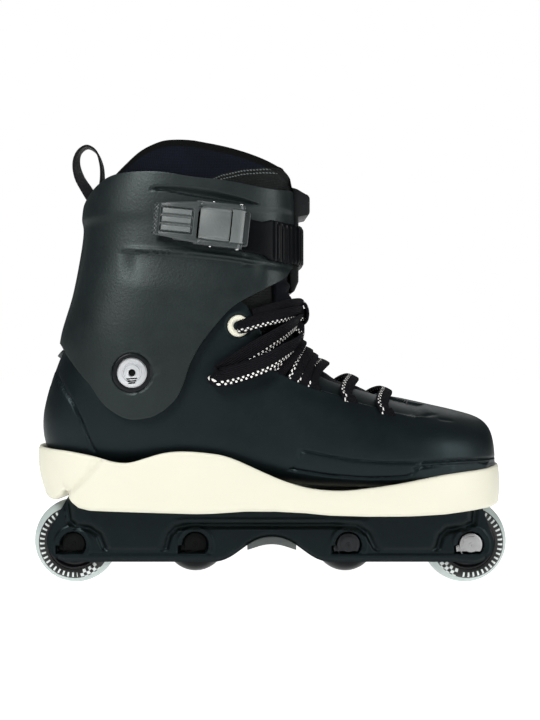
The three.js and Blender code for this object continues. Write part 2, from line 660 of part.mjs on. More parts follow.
function makePawl() {
  const plate = box(-26.4, -5.6, -3.4, -1.6, -10.6, 10.6);
  const hub = roundZ(2, -10.6, 10.6, PAWL_X, -0.6, 10);
  const tooth = box(-25.6, -23, -2.4, 2.2, -7.5, 7.5);
  return plate.add(hub).add(tooth).subtract(roundZ(1.2, -20, 20, PAWL_X, -0.6, 8));
}

add("buckle_base", BUCKLE_BLACK, makeBuckleBase(), buckle);
add("buckle_lever", BUCKLE_BLACK, makeBuckleLever(), buckle);
add("buckle_pawl", BUCKLE_BLACK, makePawl(), buckle);
add("lever_pin", STEEL, roundZ(1.45, -15.4, 15.4, 0, 0, 10), buckle);
add("pawl_pin", STEEL, roundZ(0.85, -15.2, 15.2, PAWL_X, -0.6, 8), buckle);

// The strap narrows to a toothed tail that runs through the buckle, under the pawl.
const tail = box(-40, 12, 2.9, 4.9, -8.6, 8.6).rotate([0, BUCKLE.tilt, 0]).translate([BUCKLE.x, BUCKLE.y, BUCKLE.z]);
const buckleRoom = box(-50, 9, -20, 20, -20, 20).rotate([0, BUCKLE.tilt, 0]).translate([BUCKLE.x, BUCKLE.y, BUCKLE.z]);
const strapScrewHole = roundY(2.4, 30, 60, screwPlace.x, screwPlace.z, 12);
const strap = strapClear.subtract(buckleRoom).add(tail).subtract(strapScrewHole);
add("strap", BUCKLE_BLACK, largest(strap));
const screwHead = roundY(4.6, screwPlace.y + STRAP_T / 2 + GAP, screwPlace.y + 3, screwPlace.x, screwPlace.z, 16);
const screwShaft = roundY(2, screwPlace.y - 1, screwPlace.y + 2, screwPlace.x, screwPlace.z, 12);
add("strap_screw", STEEL, screwHead.add(screwShaft));

// ---------------------------------------------------------------- pull loop
const LOOP = [
  [-129.6, 277], [-136.5, 286], [-141, 299], [-138.5, 310], [-131, 314], [-124.6, 308], [-121.6, 298], [-124, 289],
];
const loopLine = smooth(LOOP, 20).map(([x, z]) => new THREE.Vector3(x, 0, z));
add("pull_loop", WEBBING, band(loopLine, () => new THREE.Vector3(0, 1, 0), 14, 1.6));

// ---------------------------------------------------------------- laces
// A lace crosses the throat on the outside of the shell at a place along the instep.
function laceRow(at, reach) {
  const s = FOOT[Math.floor(at)].map((v, k) => v + (FOOT[Math.floor(at) + 1][k] - v) * (at % 1));
  const around = ring(s, 2.2, 72).filter((p) => p.z > 100 && Math.abs(p.y) < reach);
  const path = around.sort((a, b) => a.y - b.y);
  const along = new THREE.Vector3(1, 0, -0.42);
  return band(path, () => along, 10, 2.4);
}
[[4.65, 27], [5.6, 29], [6.45, 31], [7.3, 32]].forEach(([at, reach], i) =>
  add(`lace_row_${i + 1}`, LACE, laceRow(at, reach)),
);

// The knot lies on the tongue under the guard, and a loop hangs from it on each side.
const knot = new THREE.SphereGeometry(1, 14, 10).scale(7.2, 13, 8.6).translate(17.6, 0, 193);
add("lace_knot", LACE, solid(knot).subtract(linerBody.translate([GAP, 0, 0])));
for (const [side, sign] of [["outer", -1], ["inner", 1]]) {
  const path = [[19, 14, 189], [16, 26, 187], [9, 37, 182], [-2, 44.5, 175], [-18, 47.5, 164], [-38, 48.5, 151]];
  const line = path.map(([x, y, z]) => new THREE.Vector3(x, sign * y, z));
  const loop = band(line, () => new THREE.Vector3(0.55, 0, 1), 17, 5);
  add(`lace_loop_${side}`, LACE, loop);
}

export default skate;
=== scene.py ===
"""Looks of the inline skate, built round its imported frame.

Lengths are in millimetres until make() and plate() turn them into metres.
X points to the toe, Y to the inner side and Z up, as in the frame.
"""
import math
from contextlib import contextmanager
from functools import partial

import bmesh
import bpy
import numpy as np
from mathutils import Matrix, Vector


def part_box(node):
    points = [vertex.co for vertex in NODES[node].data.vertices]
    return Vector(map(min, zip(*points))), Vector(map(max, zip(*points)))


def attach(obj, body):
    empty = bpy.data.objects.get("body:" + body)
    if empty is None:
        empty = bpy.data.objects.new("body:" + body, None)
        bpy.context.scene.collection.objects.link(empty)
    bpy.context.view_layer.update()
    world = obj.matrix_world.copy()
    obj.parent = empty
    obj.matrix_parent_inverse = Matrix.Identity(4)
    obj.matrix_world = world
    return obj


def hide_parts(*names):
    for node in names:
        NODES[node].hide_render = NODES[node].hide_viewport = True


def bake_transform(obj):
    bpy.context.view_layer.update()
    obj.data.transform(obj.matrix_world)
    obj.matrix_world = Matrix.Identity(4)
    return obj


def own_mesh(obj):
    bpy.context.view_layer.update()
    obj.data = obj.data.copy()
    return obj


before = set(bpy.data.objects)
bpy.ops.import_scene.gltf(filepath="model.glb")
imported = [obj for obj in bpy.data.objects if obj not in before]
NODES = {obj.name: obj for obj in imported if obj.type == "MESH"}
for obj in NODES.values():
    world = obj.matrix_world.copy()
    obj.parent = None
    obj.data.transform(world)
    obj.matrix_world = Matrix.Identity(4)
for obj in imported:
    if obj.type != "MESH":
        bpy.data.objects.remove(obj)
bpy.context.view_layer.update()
MM = 0.001

# Where the moving parts are, as in the frame
WHEEL_R = 30
ROLLER_R = 22
AXLE_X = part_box("tyre_front")[1][0] / MM - WHEEL_R
AXLE_Z = WHEEL_R
ROLLER_X = 53.5
PIVOT = (-95.3, 150.5)
EYELET = (-24.2, 182.0)
EYELET_SEAT = 39.2
BUCKLE_AT = Vector((-24, -52.6, 246.7))
BUCKLE_TILT = math.radians(6)
BOOT, CUFF, LEVER, PAWL = "boot", "cuff", "lever", "pawl"
SIDES = (("outer", -1), ("inner", 1))


def link(obj):
    bpy.context.scene.collection.objects.link(obj)
    return obj


def put(node, values):
    """Sets a node's unlinked inputs."""
    for key, value in values.items():
        node.inputs[key].default_value = value


# ------------------------------------------------------------------ camera, floor and light
def set_camera():
    """Level, square to the skate's side and shifted, so that verticals stay upright."""
    distance, height, sideways = 640, 159, -44
    view_height = 518.4
    data = bpy.data.cameras.new("camera")
    data.sensor_width = 36
    data.lens = 36 * distance / view_height
    data.shift_x = -sideways / view_height
    data.clip_start = 0.01
    camera = link(bpy.data.objects.new("camera", data))
    camera.location = (sideways * MM, -distance * MM, height * MM)
    camera.rotation_euler = (math.radians(90), 0, 0)
    bpy.context.scene.camera = camera


def set_floor():
    mesh = bpy.data.meshes.new("floor")
    s = 6
    mesh.from_pydata([(-s, -s, 0), (s, -s, 0), (s, s, 0), (-s, s, 0)], [], [(0, 1, 2, 3)])
    paper = bpy.data.materials.new("floor_paper")
    paper.use_nodes = True
    put(paper.node_tree.nodes["Principled BSDF"], {
        "Base Color": (0.7, 0.7, 0.7, 1), "Roughness": 0.9,
        "Emission Color": (1, 1, 1, 1), "Emission Strength": 0.9})
    mesh.materials.append(paper)
    link(bpy.data.objects.new("floor", mesh))


def set_world():
    """A white backdrop that gives little light of its own."""
    world = bpy.data.worlds.new("studio")
    bpy.context.scene.world = world
    world.use_nodes = True
    tree = world.node_tree
    tree.nodes.clear()
    out = tree.nodes.new("ShaderNodeOutputWorld")
    switch = tree.nodes.new("ShaderNodeMixShader")
    path = tree.nodes.new("ShaderNodeLightPath")
    tree.links.new(path.outputs["Is Camera Ray"], switch.inputs[0])
    for i, colour, strength in ((1, (0.86, 0.97, 1, 1), 0.1), (2, (1, 1, 1, 1), 1)):
        light = tree.nodes.new("ShaderNodeBackground")
        put(light, {"Color": colour, "Strength": strength})
        tree.links.new(light.outputs[0], switch.inputs[i])
    tree.links.new(switch.outputs[0], out.inputs[0])


def lamp(name, spot, target, size, watts):
    """An area light aimed at a target, in metres."""
    light = bpy.data.lights.new(name, "AREA")
    light.shape = "RECTANGLE"
    light.size, light.size_y = size
    light.energy = watts
    obj = link(bpy.data.objects.new(name, light))
    obj.location = spot
    obj.rotation_euler = (Vector(target) - Vector(spot)).to_track_quat("-Z", "Y").to_euler()


def set_lights():
    lamp("key", (-0.62, -1.05, 0.95), (-0.04, 0, 0.15), (0.45, 0.6), 20)
    sun = bpy.data.lights.new("top", "SUN")
    sun.energy = 0.36
    sun.angle = math.radians(110)
    link(bpy.data.objects.new("top", sun)).rotation_euler = (math.radians(-12), 0, 0)
    lamp("fill", (1.0, -0.8, 0.3), (0.1, 0, 0.07), (0.4, 0.7), 8)
    lamp("back", (0.3, 1.1, 0.9), (0, 0, 0.15), (1.0, 0.8), 2.4)


bpy.context.scene.view_settings.view_transform = "Standard"
set_camera()
set_floor()
set_world()
set_lights()


# ------------------------------------------------------------------ materials
def new_material(name, rough, specular):
    """A material, its node tree and its shader."""
    m = bpy.data.materials.new(name)
    m.use_nodes = True
    shader = m.node_tree.nodes["Principled BSDF"]
    put(shader, {"Roughness": rough, "Specular IOR Level": specular})
    return m, m.node_tree, shader


def noise(tree, spot, scale, detail):
    node = tree.nodes.new("ShaderNodeTexNoise")
    put(node, {"Scale": scale, "Detail": detail})
    tree.links.new(spot, node.inputs["Vector"])
    return node.outputs["Fac"]


def relief(tree, shader, height, strength, distance):
    node = tree.nodes.new("ShaderNodeBump")
    put(node, {"Strength": strength, "Distance": distance})
    tree.links.new(height, node.inputs["Height"])
    tree.links.new(node.outputs["Normal"], shader.inputs["Normal"])


def calc(tree, kind, *values):
    """One Math node. Each value is a socket or a number."""
    node = tree.nodes.new("ShaderNodeMath")
    node.operation = kind
    for i, value in enumerate(values):
        if isinstance(value, (int, float)):
            node.inputs[i].default_value = value
        else:
            tree.links.new(value, node.inputs[i])
    return node.outputs[0]


def mix(tree, factor, a, b):
    """A colour from a to b by a factor. a and b are sockets or colours."""
    node = tree.nodes.new("ShaderNodeMix")
    node.data_type = "RGBA"
    tree.links.new(factor, node.inputs["Factor"])
    for key, value in (("A", a), ("B", b)):
        if isinstance(value, tuple):
            node.inputs[key].default_value = (*value, 1)
        else:
            tree.links.new(value, node.inputs[key])
    return node.outputs["Result"]


def ramp(tree, value, low, high):
    """A value from 0 to 1 as one from low to high."""
    node = tree.nodes.new("ShaderNodeMapRange")
    put(node, {"To Min": low, "To Max": high})
    tree.links.new(value, node.inputs["Value"])
    return node.outputs["Result"]


def in_object(tree):
    return tree.nodes.new("ShaderNodeTexCoord").outputs["Object"]


def split(tree, vector):
    node = tree.nodes.new("ShaderNodeSeparateXYZ")
    tree.links.new(vector, node.inputs[0])
    return tuple(node.outputs)


def on_grid(tree):
    """U and V of the map that surface() makes."""
    node = tree.nodes.new("ShaderNodeUVMap")
    node.uv_map = "along"
    return split(tree, node.outputs[0])[:2]


def material(name, colour, rough, metal=0.0, bump=0.15, grain=900, mottle=0.25, mottle_scale=30,
             specular=0.5, subsurface=0.0, tint=(1, 1, 1)):
    """A moulded or cast surface: a fine grain, slow changes of tone and scuffed roughness."""
    m, tree, shader = new_material(name, rough, specular)
    put(shader, {"Metallic": metal, "Specular Tint": (*tint, 1)})
    if subsurface:
        put(shader, {"Subsurface Weight": subsurface, "Subsurface Radius": (0.004, 0.005, 0.004),
                     "Subsurface Scale": 1})
    spot = in_object(tree)
    dark = tuple(c * (1 - mottle) for c in colour)
    light = tuple(min(1, c * (1 + mottle)) for c in colour)
    tone = mix(tree, noise(tree, spot, mottle_scale, 4), dark, light)
    tree.links.new(tone, shader.inputs["Base Color"])
    scuffs = ramp(tree, noise(tree, spot, mottle_scale * 3, 6), max(0.02, rough - 0.09), rough + 0.09)
    tree.links.new(scuffs, shader.inputs["Roughness"])
    relief(tree, shader, noise(tree, spot, grain, 3), bump, 0.0002)
    return m


def woven(name, colour, light, pitch=0.0011, kind="mesh", sheen=0.25):
    """Cloth: crossing threads, lighter on top as a painted highlight and dark between as painted shade, from
    the place in the object.
    """
    m, tree, shader = new_material(name, 0.85, 0.12)
    put(shader, {"Sheen Weight": sheen, "Sheen Roughness": 0.4})
    op = partial(calc, tree)
    spot = in_object(tree)
    x, y, z = split(tree, spot)
    turn = 2 * math.pi / pitch
    along = op("ADD", x, op("MULTIPLY", y, 0.9))
    one = op("SINE", op("MULTIPLY", op("ADD", along, z), turn))
    two = op("SINE", op("MULTIPLY", op("SUBTRACT", along, z), turn))
    weave = op("MULTIPLY" if kind == "mesh" else "MAXIMUM", one, two)
    height = op("ADD", op("MULTIPLY", weave, 0.5), 0.5)
    # Painted highlight and shade: the colour follows the weave's height, lighter on the thread tops and dark
    # between them.
    factor = op("MULTIPLY", height, op("ADD", noise(tree, spot, 45, 5), 0.25))
    tree.links.new(mix(tree, factor, colour, light), shader.inputs["Base Color"])
    relief(tree, shader, height, 0.5, 0.0003)
    return m


def lace_material():
    """Ribs along the lace and staggered pale dots beside its edges. U runs along it in mm, V across."""
    m, tree, shader = new_material("lace_weave", 0.8, 0.1)
    op = partial(calc, tree)
    u, v = on_grid(tree)
    pitch, dot_length, dot_width = 3.4, 0.8, 0.062

    def dots(centre, shift):
        """A row of dots along V = centre."""
        phase = op("FRACT", op("ADD", op("DIVIDE", u, pitch), shift))
        du = op("MULTIPLY", op("SUBTRACT", phase, 0.5), pitch / dot_length)
        dv = op("MULTIPLY", op("SUBTRACT", v, centre), 1 / dot_width)
        far = op("ADD", op("MULTIPLY", du, du), op("MULTIPLY", dv, dv))
        return op("LESS_THAN", far, 1.0)

    mask = op("MAXIMUM", dots(0.1, 0), dots(0.24, 0.5))
    ribs = op("SINE", op("MULTIPLY", v, 2 * math.pi * 9))
    steps = op("SINE", op("MULTIPLY", u, 2 * math.pi / 0.9))
    height = op("ADD", ribs, op("MULTIPLY", steps, 0.35))
    # Painted highlight and shade: the ribs' colour follows their height, lighter on top and darker in the
    # grooves between them.
    thread = op("ADD", op("MULTIPLY", height, 0.3), 0.4)
    shade = mix(tree, thread, (0.0008, 0.0008, 0.0012), (0.0075, 0.0075, 0.011))
    tree.links.new(mix(tree, mask, shade, (0.86, 0.84, 0.8)), shader.inputs["Base Color"])
    relief(tree, shader, height, 0.8, 0.0005)
    return m


def wheel_side_material():
    """The tyre: pale urethane, with a dark ring of plain bars and squares on each side."""
    m = material("tyre_urethane", (0.37, 0.42, 0.405), 0.32, bump=0.05, grain=300, mottle=0.05,
                 specular=0.35, subsurface=0.25)
    tree = m.node_tree
    base = tree.nodes["Principled BSDF"].inputs["Base Color"]
    op = partial(calc, tree)
    turn, radius = on_grid(tree)
    turn = op("FRACT", turn)

    def between(value, low, high):
        return op("MULTIPLY", op("GREATER_THAN", value, low), op("LESS_THAN", value, high))

    ring = between(radius, 18.0, 25.4)
    stem = between(op("FRACT", op("MULTIPLY", turn, 42)), 0.25, 0.62)
    bars = op("MULTIPLY", stem, between(radius, 21.2, 24.6))
    fine = op("GREATER_THAN", op("FRACT", op("MULTIPLY", turn, 31.25)), 0.5)
    layer = op("FRACT", op("DIVIDE", op("SUBTRACT", radius, 19.8), 4.9))
    squares = op("ABSOLUTE", op("SUBTRACT", fine, op("GREATER_THAN", layer, 0.5)))
    squares = op("MULTIPLY", squares, op("GREATER_THAN", radius, 19.8))
    light = op("ADD", op("MULTIPLY", bars, between(turn, 0.11, 0.985)),
               op("MULTIPLY", squares, between(turn, 0.0, 0.096)))
    printed = mix(tree, light, (0.004, 0.004, 0.0045), (0.5, 0.53, 0.52))
    tree.links.new(mix(tree, ring, base.links[0].from_socket, printed), base)
    return m


TEAL = (0.72, 0.96, 1)
SHELL_BLACK = material("shell_plastic", (0.0028, 0.0046, 0.0052), 0.4, bump=0.4, grain=650, mottle=0.45,
                       specular=0.18, tint=TEAL)
CUFF_BLACK = material("cuff_plastic", (0.005, 0.0076, 0.008), 0.42, bump=0.55, grain=600, mottle=0.4,
                      specular=0.3, tint=(0.85, 0.97, 0.95))
CREAM = material("cream_plastic", (0.555, 0.54, 0.44), 0.5, bump=0.12, grain=700, mottle=0.035,
                 mottle_scale=14, subsurface=0.1)
FRAME_BLACK = material("frame_nylon", (0.0014, 0.0026, 0.003), 0.34, bump=0.5, grain=420, mottle=0.5,
                       specular=0.14, tint=TEAL)
BLOCK_GREY = material("block_plastic", (0.045, 0.054, 0.053), 0.5, bump=0.2, grain=600)
TYRE = wheel_side_material()
CORE_BLACK = material("core_nylon", (0.004, 0.004, 0.005), 0.35, bump=0.12, specular=0.25)
ROLLER_BLACK = material("roller_urethane", (0.003, 0.004, 0.0046), 0.34, bump=0.08, grain=400,
                        specular=0.16)
STEEL = material("bright_steel", (0.55, 0.55, 0.55), 0.3, metal=1, bump=0.12, grain=1500, mottle=0.12)
AXLE_STEEL = material("axle_steel", (0.29, 0.29, 0.29), 0.38, metal=1, bump=0.15, grain=1500, mottle=0.2)
DARK_STEEL = material("black_steel", (0.022, 0.023, 0.025), 0.36, metal=1, bump=0.15, grain=1500)
# Painted shade: a near-black put where a deep recess or cut is only in shade, on the rear axle heads, the
# pivot bolts' sockets and their cuts.
PAINTED_SHADE_BLACK = material("recess_painted_shade", (0.0012, 0.0014, 0.0015), 0.55, bump=0.1, specular=0.08)
PIVOT_STEEL = material("pivot_steel", (0.5, 0.51, 0.52), 0.42, metal=1, bump=0.2, grain=1800, mottle=0.2)
PAWL_GREY = material("pawl_nylon", (0.075, 0.086, 0.084), 0.42, bump=0.4, mottle=0.4, mottle_scale=60)
BUCKLE_BLACK = material("buckle_nylon", (0.02, 0.026, 0.026), 0.36, bump=0.35, mottle=0.4, mottle_scale=60)
STRAP_BLACK = material("strap_plastic", (0.0014, 0.0017, 0.0022), 0.36, specular=0.06)
GUARD_BLACK = material("guard_plastic", (0.003, 0.0036, 0.004), 0.46, bump=0.2, grain=800, specular=0.18)
RUBBER = material("rubber", (0.026, 0.032, 0.032), 0.6, bump=0.3, grain=700)
# The second colour of each cloth is the painted highlight on its thread tops; the first is the painted shade
# between them.
MESH_CLOTH = woven("liner_mesh", (0.0004, 0.0006, 0.001), (0.0055, 0.007, 0.011), sheen=0.01)
INSOLE_CLOTH = woven("insole_knit", (0.012, 0.012, 0.014), (0.06, 0.06, 0.068), pitch=0.0018, kind="knit")
WEBBING = woven("webbing_tape", (0.0008, 0.0008, 0.001), (0.009, 0.009, 0.011), pitch=0.0016, kind="knit")
LACE = lace_material()


# ------------------------------------------------------------------ meshes
def spline(points, steps):
    """A smooth line through points of any number of values."""
    n = len(points)
    out = []
    for i in range(n - 1):
        near = [points[max(0, min(n - 1, j))] for j in (i - 1, i, i + 1, i + 2)]
        for s in range(steps):
            t = s / steps
            out.append(tuple(
                b + 0.5 * t * (c - a + t * (2 * a - 5 * b + 4 * c - d + t * (3 * (b - c) + d - a)))
                for a, b, c, d in zip(*near)
            ))
    out.append(tuple(points[-1]))
    return out


def line_at(line, x):
    """The second value of a line at the first value x; the line may run either way."""
    return np.interp(x, *zip(*sorted(line)))


def ease(t):
    t = np.clip(t, 0, 1)
    return t * t * (3 - 2 * t)


def ridge(distance, width):
    """A smooth bump, 1 at distance 0 and gone by about twice its width."""
    return np.exp(-(distance / width) ** 2)


def far_from(a, b, line):
    """Distance of points (a, b) from a line of straight pieces."""
    best = np.full(np.shape(a), 1e9)
    for (x0, z0), (x1, z1) in zip(line, line[1:]):
        dx, dz = x1 - x0, z1 - z0
        t = np.clip(((a - x0) * dx + (b - z0) * dz) / (dx * dx + dz * dz), 0, 1)
        best = np.minimum(best, np.hypot(a - x0 - t * dx, b - z0 - t * dz))
    return best


def inside_by(a, b, outline):
    """How far points (a, b) are inside an outline; negative outside."""
    closed = [*outline, outline[0]]
    odd = np.zeros(np.shape(a), bool)
    for (x0, z0), (x1, z1) in zip(closed, closed[1:]):
        if z0 != z1:
            odd ^= ((z0 > b) != (z1 > b)) & (a < (x1 - x0) * (b - z0) / (z1 - z0) + x0)
    return np.where(odd, 1, -1) * far_from(a, b, closed)


def facing(P, closed=False, out=None):
    """Unit normals of a grid of points, pointing outwards or along out, and their sign."""
    du = np.gradient(P, axis=0)
    dv = np.roll(P, -1, 1) - np.roll(P, 1, 1) if closed else np.gradient(P, axis=1)
    N = np.cross(du, dv)
    N /= np.maximum(np.linalg.norm(N, axis=2, keepdims=True), 1e-9)
    away = np.array(out, float) if out is not None else P - P.mean(axis=(0, 1))
    sign = 1 if (N * away).sum() > 0 else -1
    return N * sign, sign


def raised(P, height, closed=False):
    """A grid of points moved outwards by a height at each."""
    return P + facing(P, closed)[0] * height[..., None]


@contextmanager
def editing(mesh):
    """The mesh as a bmesh, written back afterwards."""
    bm = bmesh.new()
    bm.from_mesh(mesh)
    yield bm
    bm.to_mesh(mesh)
    bm.free()


def face_outwards(bm):
    bmesh.ops.recalc_face_normals(bm, faces=bm.faces)


def weld(bm):
    bmesh.ops.remove_doubles(bm, verts=bm.verts, dist=1e-6)


def shade(mesh, angle=None):
    """Smooth shading, hard at edges sharper than an angle in degrees."""
    mesh.polygons.foreach_set("use_smooth", [True] * len(mesh.polygons))
    if angle:
        mesh.set_sharp_from_angle(angle=math.radians(angle))


def make(name, vertices, faces, look):
    mesh = bpy.data.meshes.new(name)
    mesh.from_pydata([tuple(c * MM for c in v) for v in vertices], [], faces)
    mesh.validate()
    mesh.materials.append(look)
    shade(mesh)
    mesh.update()
    return link(bpy.data.objects.new(name, mesh))


def as_mesh(obj):
    """A new mesh of an object with its modifiers applied."""
    graph = bpy.context.evaluated_depsgraph_get()
    return bpy.data.meshes.new_from_object(obj.evaluated_get(graph))


def round_edges(obj, width, angle, hard):
    """Bevels what is sharper than an angle, applies every modifier and shades it."""
    edge = obj.modifiers.new("edge", "BEVEL")
    edge.width = width * MM
    edge.segments = 2
    edge.limit_method = "ANGLE"
    edge.angle_limit = math.radians(angle)
    done = as_mesh(obj)
    obj.modifiers.clear()
    obj.data = done
    shade(done, hard)


def thicken(obj, thickness, bevel, even=True):
    """A sheet as a wall, grown inwards, with rounded edges."""
    solid = obj.modifiers.new("wall", "SOLIDIFY")
    solid.thickness = thickness * MM
    solid.offset = -1
    solid.use_even_offset = even
    round_edges(obj, bevel, 50, 48)


def surface(name, P, look, closed=False, out=None, skip=None, uv=None, welded=True):
    """A grid of points (rows, columns, 3) as a mesh; faces look outwards or along out."""
    rows, cols = P.shape[:2]
    sign = facing(P, closed, out)[1]
    faces = []
    for i in range(rows - 1):
        for j in range(cols if closed else cols - 1):
            if skip is not None and skip(i, j):
                continue
            k = (j + 1) % cols
            quad = (i * cols + j, (i + 1) * cols + j, (i + 1) * cols + k, i * cols + k)
            faces.append(quad if sign > 0 else quad[::-1])
    obj = make(name, P.reshape(-1, 3), faces, look)
    if uv is not None:
        layer = obj.data.uv_layers.new(name="along")
        flat = np.asarray(uv, float).reshape(-1, 2)
        for loop in obj.data.loops:
            layer.data[loop.index].uv = flat[loop.vertex_index]
    if welded:
        with editing(obj.data) as bm:
            weld(bm)
    return obj


def lathe(name, profile, look, x, z, sides=96, start=0.0):
    """A closed profile of (radius, y) turned about a line along Y. U is the turn and V the radius."""
    pts = [*profile, profile[0]]
    P = np.zeros((len(pts), sides + 1, 3))
    uv = np.zeros((len(pts), sides + 1, 2))
    for j in range(sides + 1):
        a = 2 * math.pi * j / sides
        for i, (r, y) in enumerate(pts):
            P[i, j] = (x + r * math.cos(a), y, z + r * math.sin(a))
            uv[i, j] = (j / sides + start, r)
    obj = surface(name, P, look, uv=uv)
    with editing(obj.data) as bm:
        face_outwards(bm)
    shade(obj.data, 35)
    return obj


def rounded(profile, radius, steps=2):
    """A closed profile with its corners rounded."""
    out = []
    n = len(profile)
    for i in range(n):
        a, b, c = (np.array(profile[(i + k) % n], float) for k in (-1, 0, 1))
        r = min(radius, np.linalg.norm(a - b) * 0.45, np.linalg.norm(c - b) * 0.45)
        p = b + (a - b) / np.linalg.norm(a - b) * r
        q = b + (c - b) / np.linalg.norm(c - b) * r
        for s in range(steps + 1):
            t = s / steps
            out.append(tuple((1 - t) ** 2 * p + 2 * t * (1 - t) * b + t * t * q))
    return out


def box_profile(a0, a1, b0, b1):
    return [(a0, b0), (a1, b0), (a1, b1), (a0, b1)]


def circle(x, z, radius, count):
    turns = np.arange(count) * 2 * math.pi / count
    return [(x + radius * math.cos(a), z + radius * math.sin(a)) for a in turns]


def plate(name, outline, y0, y1, look, bevel=0.5, holes=()):
    """A side-view outline drawn out along Y, with rounded edges."""
    curve = bpy.data.curves.new(name, "CURVE")
    curve.dimensions = "2D"
    curve.fill_mode = "BOTH"
    curve.extrude = ((y1 - y0) / 2 - bevel) * MM
    curve.bevel_depth = bevel * MM
    curve.bevel_resolution = 2
    curve.offset = -bevel * MM
    for loop in [outline, *holes]:
        s = curve.splines.new("POLY")
        s.points.add(len(loop) - 1)
        for p, (a, b) in zip(s.points, loop):
            p.co = (a * MM, b * MM, 0, 1)
        s.use_cyclic_u = True
    holder = link(bpy.data.objects.new(name + "_curve", curve))
    mesh = as_mesh(holder)
    bpy.data.objects.remove(holder)
    bpy.data.curves.remove(curve)
    mesh.name = name
    mesh.transform(Matrix.Rotation(math.radians(90), 4, "X"))
    mesh.transform(Matrix.Translation((0, (y0 + y1) / 2 * MM, 0)))
    mesh.materials.clear()
    mesh.materials.append(look)
    with editing(mesh) as bm:
        weld(bm)
        face_outwards(bm)
    shade(mesh, 32)
    return link(bpy.data.objects.new(name, mesh))


def ribbon(name, path, across, width, thickness, look, crown=0.0):
    """A flat band with rounded edges along a smooth path. across gives its width direction."""
    pts = np.array(spline([tuple(p) for p in path], 10), float)
    wide = np.array(spline([tuple(a) for a in across], 10), float)
    run = np.gradient(pts, axis=0)
    run /= np.linalg.norm(run, axis=1, keepdims=True)
    wide -= run * (wide * run).sum(axis=1, keepdims=True)
    wide /= np.linalg.norm(wide, axis=1, keepdims=True)
    up = np.cross(run, wide)
    half, t = width / 2, thickness / 2
    share = np.linspace(-1, 1, 9)
    top, back = ([(s * (half - t * 0.5), k * t + crown * (1 - s * s), (s + 1) / 2) for s in share]
                 for k in (1, -1))
    shape = [*top, (half, 0, 1.0), *back[::-1], (-half, 0, 0.0), top[0]]
    P = np.zeros((len(pts), len(shape), 3))
    uv = np.zeros((len(pts), len(shape), 2))
    uv[..., 0] = run_of(pts)[:, None]
    for j, (w, h, v) in enumerate(shape):
        P[:, j] = pts + wide * w + up * h
        uv[:, j, 1] = v
    obj = surface(name, P, look, uv=uv)
    cap_ends(obj)
    return obj


def run_of(pts):
    """The length along a line at each of its points."""
    return np.concatenate([[0], np.cumsum(np.linalg.norm(np.diff(pts, axis=0), axis=1))])


def cap_ends(obj):
    with editing(obj.data) as bm:
        bmesh.ops.holes_fill(bm, edges=[e for e in bm.edges if e.is_boundary])
        face_outwards(bm)


def join(objs):
    """Several meshes as the first one."""
    first = objs[0]
    bm = bmesh.new()
    slots = []
    for o in objs:
        start = len(bm.faces)
        for look in o.data.materials:
            if look not in slots:
                slots.append(look)
        bm.from_mesh(o.data)
        bm.faces.ensure_lookup_table()
        for f in list(bm.faces)[start:]:
            f.material_index = slots.index(o.data.materials[f.material_index])
    first.data.materials.clear()
    for look in slots:
        first.data.materials.append(look)
    bm.to_mesh(first.data)
    bm.free()
    for o in objs[1:]:
        bpy.data.objects.remove(o)
    return first


def place(obj, body, slot, *nodes):
    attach(obj, body)
    if nodes:
        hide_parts(*nodes)


# ------------------------------------------------------------------ sections of the boot
# (top x, top z, bottom x, bottom z, outer half, inner half, widest, low squareness, high squareness)
FOOT = [
    (156.3, 106, 156.3, 77, 13, 14, 0.45, 2.4, 2.4),
    (153.3, 113.5, 154.8, 73, 23.5, 24, 0.42, 2.8, 2.4),
    (146, 119, 148, 71.6, 32.5, 32.5, 0.4, 3.4, 2.4),
    (131, 123.5, 133, 71.5, 41.5, 41.5, 0.38, 4, 2.4),
    (110, 128.3, 112, 71.5, 48.5, 46.5, 0.36, 4.4, 2.3),
    (84, 134.5, 86, 71.5, 51.4, 48.2, 0.34, 4.4, 2.2),
    (58, 144, 56, 71.5, 51, 47, 0.33, 4.2, 2.2),
    (38, 153, 24, 72, 48, 44, 0.34, 4, 2.3),
    (26, 163, -12, 76, 44.5, 42, 0.36, 3.8, 2.6),
    (20, 172, -52, 81, 42, 41, 0.38, 3.6, 3),
    (17, 180, -100, 82, 41.5, 41, 0.4, 3.2, 3.6),
    (15, 188, -144, 83, 41.5, 41, 0.42, 2.8, 4),
    (14, 195, -158.6, 97, 41.5, 41, 0.42, 2.6, 4.2),
    (13, 203, -161.3, 122, 41.5, 41, 0.42, 2.4, 4.4),
    (12, 211, -151.5, 157, 41, 40.5, 0.42, 2.2, 4.4),
]
FOOTPRINT = [
    (-166.8, 0), (-162.8, -20), (-150, -35.5), (-125, -44), (-90, -47.5), (-48, -50.5), (0, -54.5), (45, -57),
    (85, -55.5), (119, -49.5), (145, -38), (158.4, -20.5), (162.8, 0), (159.6, 22), (147, 39.5), (120, 50.5),
    (85, 55), (45, 54.5), (0, 50.5), (-48, 47), (-90, 45), (-125, 43), (-151, 34), (-162.8, 19), (-166.8, 0),
]
SHELL_TOP = (12, 217.5, -141, 176.5, 40.4, 40, 0.42, 2.2, 4.4)
CUFF_FORM = [
    (20, 100, -151, 100, 48, 47, 0.42, 2.5, 4),
    (20, 150, -151, 150, 48, 47, 0.42, 2.5, 4),
    (18, 176, -149.4, 176, 47.6, 46.6, 0.42, 2.5, 4),
    (17, 205, -141.3, 205, 46.6, 45.8, 0.43, 2.5, 4),
    (16, 232, -136, 232, 45.4, 44.8, 0.44, 2.4, 3.6),
    (16.5, 250, -133.6, 250, 45, 44.6, 0.45, 2.4, 3.4),
    (16.5, 260, -134.6, 260, 45.2, 44.8, 0.45, 2.4, 3.4),
    (16, 275, -131.5, 275, 45.6, 45.2, 0.45, 2.3, 3.4),
    (15, 300, -120, 300, 45.8, 45.4, 0.45, 2.3, 3.4),
]
